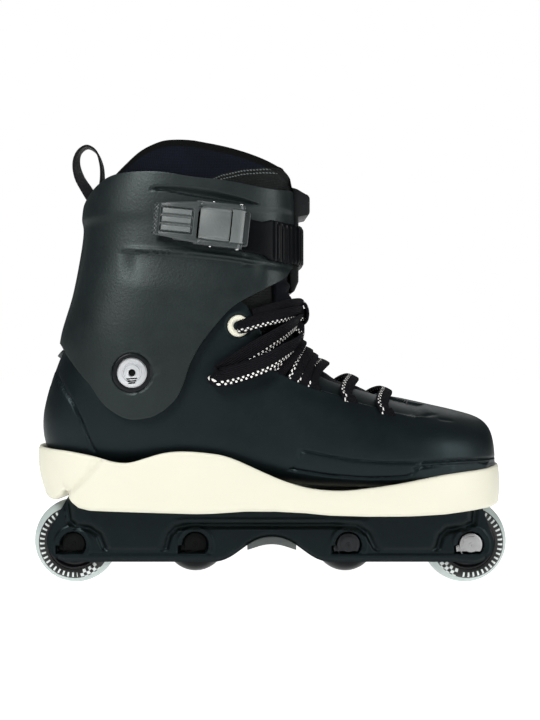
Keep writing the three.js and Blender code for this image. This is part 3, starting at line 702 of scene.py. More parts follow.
COLLAR = [
    (11, 219, -143.5, 170, 40.5, 40, 0.42, 2.2, 4.4),
    (10, 230, -135, 190, 40, 39.5, 0.42, 2.2, 4.4),
    (8, 232, -132, 215, 40, 39.5, 0.43, 2.4, 3.8),
    (10.5, 250, -129, 245, 40.3, 40, 0.44, 2.4, 3.8),
    (13, 272, -128, 270, 40.8, 40.4, 0.45, 2.4, 4.2),
    (16.5, 296, -118, 294, 40.6, 40.2, 0.45, 2.4, 4),
    (15, 318, -110, 318, 38, 37.6, 0.45, 2.4, 3.6),
]


def around(s, angles, grow=0.0):
    """Points round a section at angles from its low end. The section's values may be arrays too."""
    tx, tz, bx, bz, outer, inner, widest, low_square, high_square = s
    height = np.hypot(tx - bx, tz - bz)
    ux, uz = (tx - bx) / height, (tz - bz) / height
    c, w = np.cos(angles), np.sin(angles)
    power = np.where(c > 0, 2 / low_square, 2 / high_square)
    reach = np.where(c > 0, -(widest * height + grow), (1 - widest) * height + grow)
    along = widest * height + np.abs(c) ** power * reach
    across = np.sign(w) * np.abs(w) ** power * (np.where(w > 0, inner, outer) + grow)
    return np.stack([bx + ux * along, across, bz + uz * along], axis=-1)


def evenly(s, reach, count):
    """Angles from -reach to reach that split the section's outline into equal lengths."""
    fine = np.linspace(-reach, reach, 8001)
    run = run_of(around(s, fine))
    return np.interp(np.linspace(0, run[-1], count), run, fine)


# ------------------------------------------------------------------ shell
# Side view of what the boot's opening removes, and half its width over the instep.
SHELL_RIM = [
    (-170, 177.5), (-100, 181), (-62, 190), (-46, 201.5), (-36, 204.5), (-27, 202.5), (-19, 196), (-13, 187),
    (-7, 174), (-1, 161), (8, 151), (40, 151), (60, 400), (-170, 400),
]
THROAT = [(-60, 31), (-20, 29), (20, 26), (55, 21), (78, 16), (88, 11), (93, 6), (95.5, 0)]
HEEL_LINE = [(-149.5, 147), (-142.7, 138.3), (-136.5, 130), (-131, 119.1), (-126.9, 109.5), (-122, 97)]
FLAP_LINE = [(-6, 155.5), (3.1, 150.4), (16.5, 143.7), (29.2, 138.9), (42.5, 135.3), (55.8, 130.4),
             (66.7, 127.4), (82.4, 123.2), (94.6, 120.7), (108, 120)]
TOE_TOP = [(12.2, 85.4), (18.1, 98.4), (37, 94.8), (51.3, 92.5), (72.6, 91), (96.3, 91.2), (125, 92),
           (158, 91.6)]
TOE_LOW = [(12.2, 85.4), (37, 81.8), (60.7, 80.1), (85.6, 81.3), (90.4, 83), (92.8, 87), (108.3, 88.6),
           (158, 89.4)]
TOE_TICKS = [[(103, 121.8), (111, 121.6)], [(113, 118.8), (122, 117.6)]]


def tuck_in(P):
    """Keeps the shell's foot inside the sole plate's rim."""
    half = -line_at(FOOTPRINT[:13], P[:, 0])
    limit = np.maximum(half - 3.4, 1) + 40 * ease((P[:, 2] - 88) / 8)
    P[:, 1] = np.clip(P[:, 1], -limit, limit)
    return P


def shell_grid():
    """Rows from the nose to the heel, each cut off where the boot's opening starts."""
    rows = spline([*FOOT, SHELL_TOP], 16)
    seek = np.linspace(0.5 * math.pi, math.pi, 700)
    grid = []
    for s in rows:
        P = around(s, seek)
        gone = inside_by(P[:, 0], P[:, 2], SHELL_RIM) > 0
        gone |= (P[:, 0] > -30) & (np.abs(P[:, 1]) < np.interp(P[:, 0], *zip(*THROAT), right=-1))
        reach = seek[np.argmax(gone)] if gone.any() else math.pi
        grid.append(tuck_in(around(s, evenly(s, reach, 421))))
    nose = []
    centre = grid[0].mean(axis=0)
    for size, x in ((0.0, 157.6), (0.3, 157.5), (0.62, 157.2), (0.85, 156.8)):
        ring = centre + (grid[0] - centre) * size
        ring[:, 0] = x
        nose.append(ring)
    return np.array(nose + grid)


def shell_relief(P):
    """Heel line, instep flap, toe ticks, toe panel and eyelet seats."""
    x, y, z = P[..., 0], P[..., 1], P[..., 2]
    side = np.abs(y) > 12
    h = -1.3 * ridge(far_from(x, z, HEEL_LINE), 0.75) * side
    behind = line_at([(b, a) for a, b in HEEL_LINE], z) - x
    h += 0.7 * ease(behind / 1.5) * side * (z < 150)
    flap = far_from(x, z, FLAP_LINE)
    above = z > line_at(FLAP_LINE, x)
    run = ease((x + 4) / 5) * ease((109 - x) / 8) * (np.abs(y) > 16)
    h -= np.where(above, 1.5 * ease(flap / 1.2), 0) * run
    h += np.where(above, 0, 0.5 * ridge(flap, 2.2)) * run
    for tick in TOE_TICKS:
        h -= 0.5 * ridge(far_from(x, z, tick), 0.8) * (np.abs(y) > 10)
    on_panel = ease((np.abs(y) - 8) / 6) * ease((156 - x) / 6)
    for line in (TOE_TOP, TOE_LOW):
        h -= 1.2 * ridge(far_from(x, z, line), 0.85) * on_panel
    seat = np.hypot(x - EYELET[0], z - EYELET[1])
    h -= np.where(side, 0.5 * ease((9.2 - seat) / 1.0), 0)
    return h


def make_shell():
    P = shell_grid()
    obj = surface("shell_skin", raised(P, shell_relief(P)), SHELL_BLACK)
    thicken(obj, 3.2, 0.7, even=False)
    place(obj, BOOT, "shell", "shell")


# ------------------------------------------------------------------ cuff
CUFF_TOP = [(-150, 255), (-138, 262), (-131, 270), (-124.5, 277), (-117, 282.2), (-110, 284.8),
            (-101, 285.8), (-90, 285.8), (-74, 284.8), (-56, 281.8), (-33, 279.3), (-9, 275.4), (3, 274.6),
            (14, 276), (25, 276)]
CUFF_LOW = [(25, 228), (14, 221.9), (7, 214.3), (-9, 205.7), (-27, 195.5), (-40, 182), (-50, 168.8),
            (-57, 155.5), (-61.5, 142), (-67, 132), (-78, 122.8), (-90, 119.5), (-100, 120.1), (-110, 125.5),
            (-117, 132), (-124, 142), (-131, 149.5), (-141, 161.5), (-147, 169), (-150, 170.6), (-160, 171)]
# The hollow above the buckle: its upper and lower edge.
LENS_OVER = [(-83.5, 274.2), (-80, 275.9), (-70, 276.4), (-56.5, 275.7), (-43, 273.8), (-32.6, 271.3),
             (-20, 268), (-9.5, 264.6)]
LENS_UNDER = [(-80, 273), (-70, 271.3), (-56.5, 268.6), (-45, 266.6), (-32.6, 264.9), (-22, 263.8),
              (-10.5, 263.3), (-9.5, 264.6)]
SCOOP_LINE = [(-105.4, 231.6), (-98, 232.2), (-80, 231.2), (-56.5, 229.6), (-30, 226.6), (-8.7, 223.4)]
STRAP_BED = [(-22, 221), (26, 216), (26, 264), (-22, 262)]
FLAP_HALF = 17
CUFF_WALL = 2.8


def cuff_grid():
    """Columns round the cuff from one edge of its opening to the other, rows from its low to its top line."""
    form = np.array(spline(CUFF_FORM, 8))
    cols, rows = 381, 161
    front = math.pi - math.asin((FLAP_HALF / 46) ** 1.9)
    share = evenly(CUFF_FORM[4], front, cols) / front
    t = np.linspace(0, 1, rows)[:, None]
    Z = np.full((rows, cols), 200.0)
    low, top = spline(CUFF_LOW, 6), spline(CUFF_TOP, 6)
    for _ in range(14):
        s = [np.interp(Z, form[:, 3], form[:, k]) for k in range(9)]
        limit = math.pi - np.arcsin((FLAP_HALF / s[4]) ** (s[8] / 2))
        P = around(s, share[None, :] * limit)
        bottom, over = line_at(low, P[..., 0]), line_at(top, P[..., 0])
        Z = 0.4 * Z + 0.6 * (bottom + (over - bottom) * t)
    P[..., 2] = Z
    return P


def cuff_relief(P):
    """Hollow above the buckle, strap bed, scoop below it, pivot seats and the tendon's channels."""
    x, y, z = P[..., 0], P[..., 1], P[..., 2]
    side = ease((np.abs(y) - 14) / 10)
    over, under = line_at(LENS_OVER, x), line_at(LENS_UNDER, x)
    down = (over - z) / np.maximum(over - under, 0.5)
    scoop = ease(down / 0.8) * ease((1 - down) / 0.2) * ease((over - under) / 3.5)
    h = -2.6 * scoop * (x > LENS_OVER[0][0]) * (x < LENS_OVER[-1][0]) * side
    h -= 0.8 * ease(inside_by(x, z, STRAP_BED) / 5.0) * side
    drop = line_at(SCOOP_LINE, x) - z
    along = ease((x + 106) / 14) * ease((-4 - x) / 12)
    h -= 2.2 * ease(drop / 1.8 + 0.5) * ease((26 - drop) / 24) * along * side
    h += 0.8 * ridge(drop + 1.6, 1.3) * along * side
    pivot = np.hypot(x - PIVOT[0], z - PIVOT[1])
    h -= 1.5 * ease((14.0 - pivot) / 0.8) * side
    tendon = ridge(np.abs(y) - 17, 7) * (x < -100) * ease((z - 170) / 30) * ease((262 - z) / 30)
    return h - 1.2 * tendon


def make_cuff():
    P = cuff_grid()
    obj = surface("cuff_skin", raised(P, cuff_relief(P)), CUFF_BLACK)
    thicken(obj, CUFF_WALL, 0.7)
    place(obj, CUFF, "cuff", "cuff")


# ------------------------------------------------------------------ soul plate
RIM = [(-172, 99), (-156, 98.3), (-143, 97.4), (-132, 95.8), (-123, 94.1), (-117, 92.4), (-110.5, 90.8),
       (-103.5, 90), (-96.4, 90.7), (-86.8, 93.6), (-74.8, 96.9), (-60, 98), (-39.3, 96.2), (-27.5, 93),
       (-15.8, 88), (-4, 82.9), (7.7, 78.4), (24, 74.2), (44, 72.8), (64, 74.6), (84, 77.3), (104, 80.8),
       (121, 83.2), (145, 85), (160, 86.2), (172, 86.2)]
SOLE = [(-172, 65), (-159, 63.4), (-156, 62.6), (-152, 62.9), (-147.5, 65.9), (-144, 68.6), (-142.4, 68.4),
        (-141.2, 66), (-138.7, 62), (-134, 58.7), (-127, 57.3), (-90, 56.6), (-55, 56), (-42, 56.4),
        (-20, 58.2), (0, 58.4), (20, 57.6), (36, 56.2), (60, 55.5), (90, 55.3), (115, 55.9), (130, 57),
        (145, 58), (172, 58.2)]
CREASE = [(-141, 68.5), (-129.4, 79.1), (-119.3, 90.4), (-117, 93)]


def make_soul_plate():
    """Rows from inside the rim, over it, down the outside and under to an open channel."""
    loop = np.array(spline(FOOTPRINT, 16)[:-1])
    n = len(loop)
    x0, y0 = loop[:, 0], loop[:, 1]
    heel = np.maximum(-120 - x0, 0) / 45
    top, low = line_at(spline(RIM, 5), x0), line_at(SOLE, x0 + 4.8 * heel)
    rows = []

    def row(shrink, z, lean):
        rows.append(np.stack([x0 * (1 - shrink / 163) + lean * heel, y0 * (1 - shrink / 50), z], axis=1))

    for shrink, drop in ((6.5, 7), (4.6, 1.2), (3.4, 0.1), (2.4, 0), (1.6, 0.3)):
        row(shrink, top - drop, 0)
    for t in np.linspace(0, 1, 30):
        z = top - 1.2 + (low + 4.6 - top + 1.2) * t
        bulge = 1 - math.sin(math.pi * min(1, t * 0.9)) ** 0.8
        row(bulge * 0.9 + 0.25, z, 4.5 * t ** 2)
    for shrink, up, lean in ((0.8, 3.2, 4.6), (1.1, 2.0, 4.7), (1.8, 0.9, 4.8), (2.8, 0.2, 4.8),
                             (4.3, 0, 4.8)):
        row(shrink, low + up, lean)
    outside = len(rows)
    last = rows[-1]
    channel = np.stack([np.clip(last[:, 0] * 0.97, -139, 150), np.clip(last[:, 1], -23, 23)], axis=1)
    for t in (0.33, 0.66, 1.0):
        depth = low * (1 - t) + np.where(x0 < -138, np.maximum(low, 66), np.maximum(low, 57.2)) * t
        rows.append(np.concatenate([last[:, :2] * (1 - t) + channel * t, depth[:, None]], axis=1))
    rows.append(np.concatenate([channel, np.full((n, 1), 66.5)], axis=1))
    rows.append(np.stack([channel[:, 0], np.zeros(n), np.full(n, 66.5)], axis=1))
    P = np.array(rows)
    x, y, z = np.moveaxis(P[4:outside], 2, 0)
    crease = 2.3 * ridge(far_from(x, z, CREASE), 1.9) * (np.abs(y) > 8)
    P[4:outside] = raised(P[4:outside], -crease, closed=True)
    obj = surface("soul_plate_skin", P, CREAM, closed=True, welded=False)
    with editing(obj.data) as bm:
        face_outwards(bm)
    shade(obj.data, 50)
    place(obj, BOOT, "cream_plastic", "soul_plate")


# ------------------------------------------------------------------ frame
FRAME_FACE = 19.8
FRAME_INSIDE = 13.6
FRAME_HIGH = [(-157.2, 33.8), (-156, 39), (-142.5, 63.5), (145, 63.5), (147.5, 54), (155.1, 32.4)]
PILLOWS = [
    [(-143, 70), (-139.5, 47.5), (-136, 44.5), (-127, 43.4), (-119, 38), (-115, 28), (-112.5, 25.8),
     (-79, 25.8), (-76, 29), (-73.5, 38), (-67.5, 43.6), (-58, 45.6), (40, 45.6), (44, 48), (44, 70)],
    [(20, 70), (20, 47), (44, 45.6), (60, 44.4), (69, 39), (74, 29), (76.5, 25.8), (111, 25.8), (114, 29),
     (116.5, 37), (122, 42), (134, 43.8), (139, 46.5), (141.5, 70)],
]


def frame_low():
    """The frame's lower edge: round an end, along, up over the block's arch, and the same again."""
    a = [(-142 - 15.2 * math.cos(t), 33 - 15.2 * math.sin(t)) for t in np.linspace(0.05, math.pi / 2, 14)]
    t = np.linspace(0, 1, 20)
    left = [(-40, 17.8), (-24, 18.8), (-18, 35.3), (0, 35.3)]
    arch = [tuple(sum(np.array(p) * k for p, k in zip(
        left, ((1 - s) ** 3, 3 * s * (1 - s) ** 2, 3 * s * s * (1 - s), s ** 3)))) for s in t]
    mirror = [(-x, z) for x, z in reversed(arch[:-1])]
    ends = np.linspace(0, math.pi / 2 - 0.05, 14)
    b = [(140 + 15.2 * math.sin(t), 31.5 - 15.2 * math.cos(t)) for t in ends]
    return [*a, *arch, *mirror, (128, 17.8), *b]


FRAME_LOW = frame_low()


def d_shape(x):
    """Outline of an axle head: a round with a flat below and a key at its rear."""
    r, flat = 8, 5
    start = math.asin(flat / r)
    arc = [(x + r * math.cos(t), AXLE_Z + r * math.sin(t))
           for t in np.linspace(-start, math.pi + start - 0.35, 28)]
    key = [(x - r - 0.6, AXLE_Z - 0.2), (x - r - 2.2, AXLE_Z - 0.8), (x - r - 2.6, AXLE_Z - 2.4),
           (x - r - 2.0, AXLE_Z - flat)]
    return arc + key


def make_frame():
    """Both walls, with raised panels, a rounded lower edge and wells for the axle heads, and the deck."""
    left, right = -157.15, 155.1
    end = 0.5 - 0.5 * np.cos(np.linspace(0, math.pi, 60))[:30]
    end *= 14 / end[-1]
    xs = np.concatenate([left + end, np.linspace(left + 14, right - 14, 420)[1:-1], right - end[::-1]])
    lows, highs = line_at(FRAME_LOW, xs), line_at(FRAME_HIGH, xs)
    t = np.linspace(0, 1, 72)[:, None]
    X = np.repeat(xs[None, :], len(t), axis=0)
    Z = lows + (highs - lows) * t
    edge = np.minimum(Z - lows, 8)
    within = np.maximum(inside_by(X, Z, PILLOWS[0]), inside_by(X, Z, PILLOWS[1]))
    h = 1.6 * ease(within / 4.2 + 0.1)
    open_end = ease((Z - 24.5) / 3)
    h -= 2.0 * ridge(within + 2.3, 1.9) * open_end
    h += 0.4 * ridge(within + 4.8, 0.6) * open_end
    h -= 1.1 * ease((Z - 47) / 2.5) * ease((70 - np.abs(X)) / 12)
    h -= 0.5 * ridge(Z - 24.2, 0.9) * (np.abs(X) > 42) * (np.abs(X) < 128)
    h -= 1.6 * (1 - ease(edge / 4.2)) * (np.abs(X) < 150)
    for x in (-AXLE_X, AXLE_X, -ROLLER_X, ROLLER_X):
        ring = np.hypot(X - x, Z - AXLE_Z)
        h += 0.7 * ridge(ring - 12.4, 1.0) * (Z > AXLE_Z - 6) * (h < 0.4)
        well = ring - 8.9
        flat = (AXLE_Z - 5.9) - Z
        key = np.maximum(np.abs(X - x + 8.5) - 3.2, np.abs(Z - AXLE_Z + 3.4) - 2.6)
        inside = np.minimum(np.maximum(well, flat), key)
        depth = 5.4 if x in (-AXLE_X, -ROLLER_X) else 3.2
        h -= depth * ease(-inside / 0.7 + 0.5)
    walls = []
    for side in (-1, 1):
        P = np.stack([X, side * (FRAME_FACE + h), Z], axis=2)
        wall = surface("frame_wall", P, FRAME_BLACK, out=(0, side, 0))
        thicken_flat(wall, side * FRAME_INSIDE)
        walls.append(wall)
    deck = rounded(box_profile(-142, 145, 61.2, 64), 1, 4)
    skin = join([*walls, plate("deck", deck, -19, 19, FRAME_BLACK, 0.4)])
    skin.name = "frame_skin"
    place(skin, BOOT, "frame", "frame")


def thicken_flat(obj, inner):
    """Closes a wall with a flat inside face at y = inner and a rounded edge."""
    with editing(obj.data) as bm:
        made = bmesh.ops.extrude_edge_only(bm, edges=[e for e in bm.edges if e.is_boundary])["geom"]
        for v in made:
            if isinstance(v, bmesh.types.BMVert):
                v.co.y = inner * MM
        inner_edges = [e for e in made if isinstance(e, bmesh.types.BMEdge) and e.is_boundary]
        bmesh.ops.triangle_fill(bm, edges=inner_edges, use_beauty=True)
        face_outwards(bm)
    round_edges(obj, 0.8, 60, 50)


def make_block():
    arch = spline([(-16, 29.6), (-8, 33.2), (0, 34.4), (8, 33.2), (16, 29.6)], 5)
    outline = [*arch, (16, 60), (-16, 60)]
    block = plate("grind_block_skin", outline, -13.2, 13.2, BLOCK_GREY, 0.5)
    upper = [(x, line_at(FRAME_LOW, x) + 0.3) for x in np.linspace(-17, 17, 23)]
    lower = [(x, z - 5.4 + 1.8 * (abs(x) / 17) ** 4) for x, z in reversed(upper)]
    for y0, y1 in ((-19.6, -13), (13, 19.6)):
        block = join([block, plate("lip", [*upper, *lower], y0, y1, BLOCK_GREY, 0.7)])
    place(block, BOOT, "block", "grind_block")


# ------------------------------------------------------------------ wheels
def tyre_profile(radius, half, bore, drop):
    """A rounded tread that falls by drop to its shoulders, and flat sides down to the bore."""
    tread = []
    for t in np.linspace(-1, 1, 25):
        y = half * math.sin(t * math.pi / 2)
        tread.append((radius - drop * abs(y / half) ** 2.2 - 0.6 * abs(y / half) ** 12, y))
    side = radius - drop - 2
    return [(bore, -half + 0.6), (side, -half), *tread, (side, half), (bore, half - 0.6)]


# Profiles (radius, y) of a wheel's core and of a bearing
HUB = rounded([(11.4, -11.2), (13.5, -11.2), (14.6, -9.6), (16.4, -9.6), (17.6, -11.2), (19, -11.2),
               (19, 11.2), (17.6, 11.2), (16.4, 9.6), (14.6, 9.6), (13.5, 11.2), (11.4, 11.2)], 0.5)
BEARING = rounded([(4.4, 0), (5.8, 0), (6.1, 0.4), (9, 0.4), (9.4, 0), (11, 0), (11, 7), (9.4, 7),
                   (9, 6.6), (6.1, 6.6), (5.8, 7), (4.4, 7)], 0.25)


def make_wheels():
    """patch is where round the wheel its squares are."""
    for name, x, patch in (("front", AXLE_X, 0.6), ("rear", -AXLE_X, 0.78)):
        body = "wheel_" + name
        profile = tyre_profile(WHEEL_R, 12, 19.2, 6)
        tyre = lathe(f"tyre_{name}_skin", profile, TYRE, x, AXLE_Z, 160, start=1 - patch)
        place(tyre, body, "urethane", "tyre_" + name)
        core = lathe(f"core_{name}_skin", HUB, CORE_BLACK, x, AXLE_Z)
        place(core, body, "core", "core_" + name)
    for name, x in (("front", ROLLER_X), ("rear", -ROLLER_X)):
        profile = tyre_profile(ROLLER_R, 11, 11.4, 4.5)
        roller = lathe(f"roller_{name}_skin", profile, ROLLER_BLACK, x, AXLE_Z, 128)
        place(roller, "anti_rocker_" + name, "roller", "roller_" + name)


def make_bearings():
    stations = (("front", AXLE_X, "wheel_front"), ("rear", -AXLE_X, "wheel_rear"),
                ("front_roller", ROLLER_X, "anti_rocker_front"),
                ("rear_roller", -ROLLER_X, "anti_rocker_rear"))
    for name, x, body in stations:
        for side, sign in SIDES:
            profile = [(r, sign * (4.5 + y)) for r, y in BEARING]
            ring = lathe(f"bearing_{name}_{side}_skin", profile, STEEL, x, AXLE_Z, 64)
            place(ring, body, "steel", f"bearing_{name}_{side}")


# ------------------------------------------------------------------ axles and bolts
def make_axles():
    """face is the y of each head's outer face: the rear two are sunk deeper and coloured near-black as
    painted shade for their deep wells.
    """
    stations = (("front", AXLE_X, -19.6), ("rear", -AXLE_X, -15.8), ("front_roller", ROLLER_X, -18.9),
                ("rear_roller", -ROLLER_X, -15.8))
    for name, x, face in stations:
        # The rear heads, their dishes and their dimples are painted shade, not steel.
        look = {"front": AXLE_STEEL, "front_roller": DARK_STEEL}.get(name, PAINTED_SHADE_BLACK)
        head = plate(f"axle_{name}_skin", d_shape(x), face, -15.2, look, 0.5)
        dish = [(0.01, face - 0.25), (5.4, face - 0.25), (6.0, face + 0.3), (0.01, face + 0.3)]
        inset = lathe("inset", rounded(dish, 0.12), look, x, AXLE_Z + 0.4, 48)
        dimple = lathe("dimple", rounded(box_profile(0.9, 1.6, face - 0.5, face), 0.1), look, x, AXLE_Z, 24)
        shaft = lathe("shaft", rounded(box_profile(0.01, 4, -15, 15), 0.3), look, x, AXLE_Z, 40)
        head = join([head, inset, dimple, shaft])
        place(head, BOOT, "steel" if name == "front" else "dark_steel", "axle_" + name)
        cap = plate(f"axle_screw_{name}_skin", circle(x, AXLE_Z, 6.5, 40), 17.2, 19.6, DARK_STEEL, 0.4,
                    holes=[circle(x, AXLE_Z, 2.3, 6)])
        pit = lathe("pit", rounded(box_profile(0.01, 5, 15, 17.4), 0.1), DARK_STEEL, x, AXLE_Z, 32)
        place(join([cap, pit]), BOOT, "dark_steel", "axle_screw_" + name)


def make_pivots():
    """Each cuff bolt with its socket, whose floor is a disc of painted shade, and three plain cuts drawn as
    strips of painted shade, its washer and its nut inside the shell.
    """
    x, z = PIVOT
    bolt_profile = [(0.01, 45), (9.6, 45), (10, 45.6), (10, 47.6), (9.2, 48.4), (6.6, 48.5), (6.2, 48.1),
                    (5.6, 48.1), (5.2, 48.5), (2.9, 48.6), (2.4, 48.2), (2.2, 46.4), (0.01, 46.2)]
    ring_profile = rounded([(10.4, 44.2), (13.3, 44.2), (13.3, 46.7), (12.4, 47.3), (10.4, 47.3)], 0.4, 3)
    nut_profile = rounded(box_profile(5.2, 8, 37.7, 39.9), 0.5, 3)
    for side, sign in SIDES:
        def turned(name, profile, look, sides=96):
            return lathe(name, [(r, sign * y) for r, y in profile], look, x, z, sides)

        bolt = turned(f"cuff_bolt_{side}_skin", bolt_profile, PIVOT_STEEL)
        # Painted shade: a near-black disc at the socket's floor.
        pit = turned("pit", box_profile(0.01, 2.3, 46.9, 46.3), PAINTED_SHADE_BLACK, 32)
        cuts = []
        # Painted shade: each cut is a thin near-black strip laid on the bolt's face.
        for down, half in ((3.9, 3.6), (5.4, 3.0), (6.9, 2.3)):
            path = [(x + k * half, sign * 48.62, z - down + 0.25 * k) for k in (-1, 0, 1)]
            cuts.append(ribbon("cut", path, [(0, 0, 1)] * 3, 0.8, 0.3, PAINTED_SHADE_BLACK))
        place(join([bolt, pit, *cuts]), BOOT, "steel", f"cuff_bolt_{side}")
        place(turned(f"pivot_washer_{side}", ring_profile, ROLLER_BLACK), CUFF, "stop_rubber")
        nut = turned(f"cuff_nut_{side}_skin", nut_profile, DARK_STEEL, 48)
        place(nut, BOOT, "dark_steel", f"cuff_nut_{side}")


def make_eyelets():
    x, z = EYELET
    profile = [(3.1, -2.6), (4.2, -2.6), (4.3, 0.2), (7.0, 0.2), (7.4, 0.6), (7.1, 1.5), (6.0, 2.1),
               (4.6, 2.1), (3.6, 1.4), (3.1, 0.4)]
    for side, sign in SIDES:
        seated = [(r, sign * (EYELET_SEAT + y)) for r, y in profile]
        ring = lathe(f"eyelet_{side}_skin", seated, CREAM, x, z, 64)
        place(ring, BOOT, "cream_plastic", f"eyelet_{side}")


def make_stop():
    path = [(-151, 0, 163.6), (-150, 0, 162.8), (-148.4, 0, 161.4), (-146.8, 0, 160), (-145, 0, 158.4)]
    stud = ribbon("cuff_stop_skin", path, [(0, 1, 0)] * 5, 8.5, 4.6, RUBBER, crown=1.2)
    place(stud, BOOT, "stop_rubber", "cuff_stop")


# ------------------------------------------------------------------ liner and tongue
LINER_TOP = [(-150, 279), (-122, 281), (-113.7, 283.8), (-108, 288), (-102.8, 292.4), (-90.7, 302),
             (-78.5, 307.4), (-70, 308.8), (-56.7, 308.4), (-44.5, 306.3), (-26.2, 302), (-8.1, 296),
             (5.8, 289.5), (12, 284), (15.5, 277), (40, 272)]
LINER_SEAM = [(-60, 262), (-44, 280.5), (-40, 283.4), (-20.5, 288), (-6, 289.4), (10, 289.6), (25, 288)]


def liner_material():
    """Mesh cloth with a leather front panel and a bound edge. U and V are the ways into each, in mm."""
    m = woven("liner_cloth", (0.0002, 0.0003, 0.0007), (0.0045, 0.0065, 0.014), sheen=0.01, pitch=0.0022)
    tree = m.node_tree
    shader = tree.nodes["Principled BSDF"]
    base = shader.inputs["Base Color"]
    op = partial(calc, tree)
    panel, binding = on_grid(tree)
    leather = op("GREATER_THAN", panel, 0)
    near_seam = op("MAXIMUM", *(
        op("LESS_THAN", op("ABSOLUTE", op("SUBTRACT", panel, at)), 0.4) for at in (1.1, 3.4)))
    spot = in_object(tree)
    x, _, z = split(tree, spot)
    stitch = op("SINE", op("MULTIPLY", op("ADD", x, z), 2 * math.pi / 0.0024))
    stitch = op("MULTIPLY", op("GREATER_THAN", stitch, -0.2), near_seam)
    # The leather's lighter mottle is partly its own tone and partly a painted sheen.
    leather_tone_and_sheen = mix(tree, noise(tree, spot, 60, 5), (0.0008, 0.001, 0.0012), (0.0055, 0.0066, 0.0065))
    sewn = mix(tree, stitch, leather_tone_and_sheen, (0.07, 0.08, 0.078))
    whole = mix(tree, leather, base.links[0].from_socket, sewn)
    bound = mix(tree, op("GREATER_THAN", binding, 0), whole, (0.0008, 0.0009, 0.001))
    tree.links.new(bound, base)
    tree.links.new(ramp(tree, leather, 0.85, 0.36), shader.inputs["Roughness"])
    put(shader, {"Specular IOR Level": 0.08})
    return m


LINER_CLOTH = liner_material()


def make_liner():
    """One wall from the instep up the outside, over the padded collar and down inside to the toes."""
    angles = np.linspace(-math.pi, math.pi, 121)
    top_line = spline(LINER_TOP, 5)

    def wall(first, in_cuff, in_shell):
        """Rings from a section on, set back by one amount in the cuff and by more in the shell."""
        rings = []
        for s in spline([*FOOT, *COLLAR][first:], 6):
            more = 0 if s[3] > 205 else in_shell * ease((212 - s[3]) / 10)
            rings.append(around(s, angles, in_cuff + more))
        return rings

    outside = wall(9, -0.2, -4.4)
    P = np.array(outside + wall(2, -8.4, -3.4)[::-1])
    n_out = len(outside)
    # What stands over the collar's edge line is pressed back under it, as a round roll.
    limit = line_at(top_line, P[..., 0])
    over = P[..., 2] - limit
    P[..., 2] = np.where(over > -3, limit - 3 + 3 * np.tanh((over + 3) / 6), P[..., 2])
    edge = P[n_out - 4, :, 2]
    P[n_out - 3:n_out, :, 2] = edge + (P[n_out - 3:n_out, :, 2] - edge) * 0.9
    x, y, z = P[..., 0], P[..., 1], P[..., 2]
    puff = 0.9 * ridge(z - line_at(top_line, x) + 11, 7)
    h = puff - 0.7 * ridge(far_from(x, z, LINER_SEAM), 0.8) * (np.abs(y) > 14)
    h[n_out:] = 0
    P = raised(P, h)
    panel = line_at(LINER_SEAM, x) - z
    binding = z - line_at(top_line, x) + 5.2
    obj = surface("liner_skin", P, LINER_CLOTH, uv=np.stack([panel, binding], axis=2))
    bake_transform(obj)
    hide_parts("liner")


def make_tongue():
    """A padded strip along the instep and up the front of the ankle."""
    rows = spline([*FOOT, *COLLAR][4:], 6)
    keep = [s for s in rows if s[0] < 97 and s[1] < 272]
    share = np.linspace(-1, 1, 41)
    rings = []
    for k, s in enumerate(keep):
        end = ease(k / 5)
        a = math.pi + share * (0.62 * end + 0.02)
        free = ease((s[1] - 170) / 30)
        pad = (1 - np.abs(share) ** 4) * (1.7 + 0.9 * math.cos(k * 0.9)) * end
        lift = -4.6 + 3.4 * free
        over = around(s, a, lift)
        over += (around(s, a, lift + 1) - over) * pad[:, None]
        under = around(s, a, lift - 4.2)
        rings.append(np.concatenate([over, under[::-1]]))
    obj = surface("tongue_skin", np.array(rings), MESH_CLOTH, closed=True)
    cap_ends(obj)
    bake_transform(obj)
    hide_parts("tongue")


def make_insole():
    rows = spline(FOOT[3:], 6)
    share = np.linspace(-0.95, 0.95, 41)
    P = np.array([around(s, share * 0.95, -13.2) for s in rows if s[3] < 104])
    middle = P[:, 20, 2]
    obj = surface("insole_skin", P[middle < 102], INSOLE_CLOTH, out=(0, 0, 1))
    thicken(obj, 2.4, 0.8)
    place(obj, BOOT, "insole", "insole")


# ------------------------------------------------------------------ tongue guard, strap and buckle
GUARD = [(13, 206.5), (16, 207), (19, 214), (19, 259.5), (23, 260.4), (26.2, 261), (26.9, 262.6), (26.9, 273),
         (25.6, 275), (24, 275.6), (18, 279.2), (12.4, 280.8), (11, 240)]


def make_guard():
    half = FLAP_HALF - 0.7
    guard = plate("tongue_guard_skin", rounded(GUARD, 0.9, 3), -half, half, GUARD_BLACK, 1.0)
    place(guard, CUFF, "guard", "tongue_guard")


STRAP_SECTION = (21.3, 238, -134, 238, 47.8, 47.4, 0.44, 2.5, 3.4)
STRAP_Z = 238
STRAP_HALF = 13.5
STRAP_TAIL_HALF = 10.9
STRAP_WALL = 2.3
RIB_PITCH = 3.7


def strap_path():
    """620 points from the buckle round the front to the inner side, rising towards the rear."""
    half = 0.5 * math.pi
    outer = around(STRAP_SECTION, np.linspace(-half, -math.pi, 400))
    inner = around(STRAP_SECTION, np.linspace(math.pi, half, 400))
    inner_back = around(STRAP_SECTION, np.linspace(half, 0.42 * math.pi, 60))
    line = np.concatenate([outer[outer[:, 0] > -27], inner, inner_back])
    line = line[line[:, 0] > -64]
    run = run_of(line)
    fresh = np.concatenate([[True], np.diff(run) > 1e-6])
    line, run = line[fresh], run[fresh]
    at = np.linspace(0, run[-1], 620)
    path = np.stack([np.interp(at, run, line[:, k]) for k in range(3)], axis=1)
    path[:, 2] = STRAP_Z + np.maximum(0, (8 - path[:, 0]) * 0.16)
    return path, at


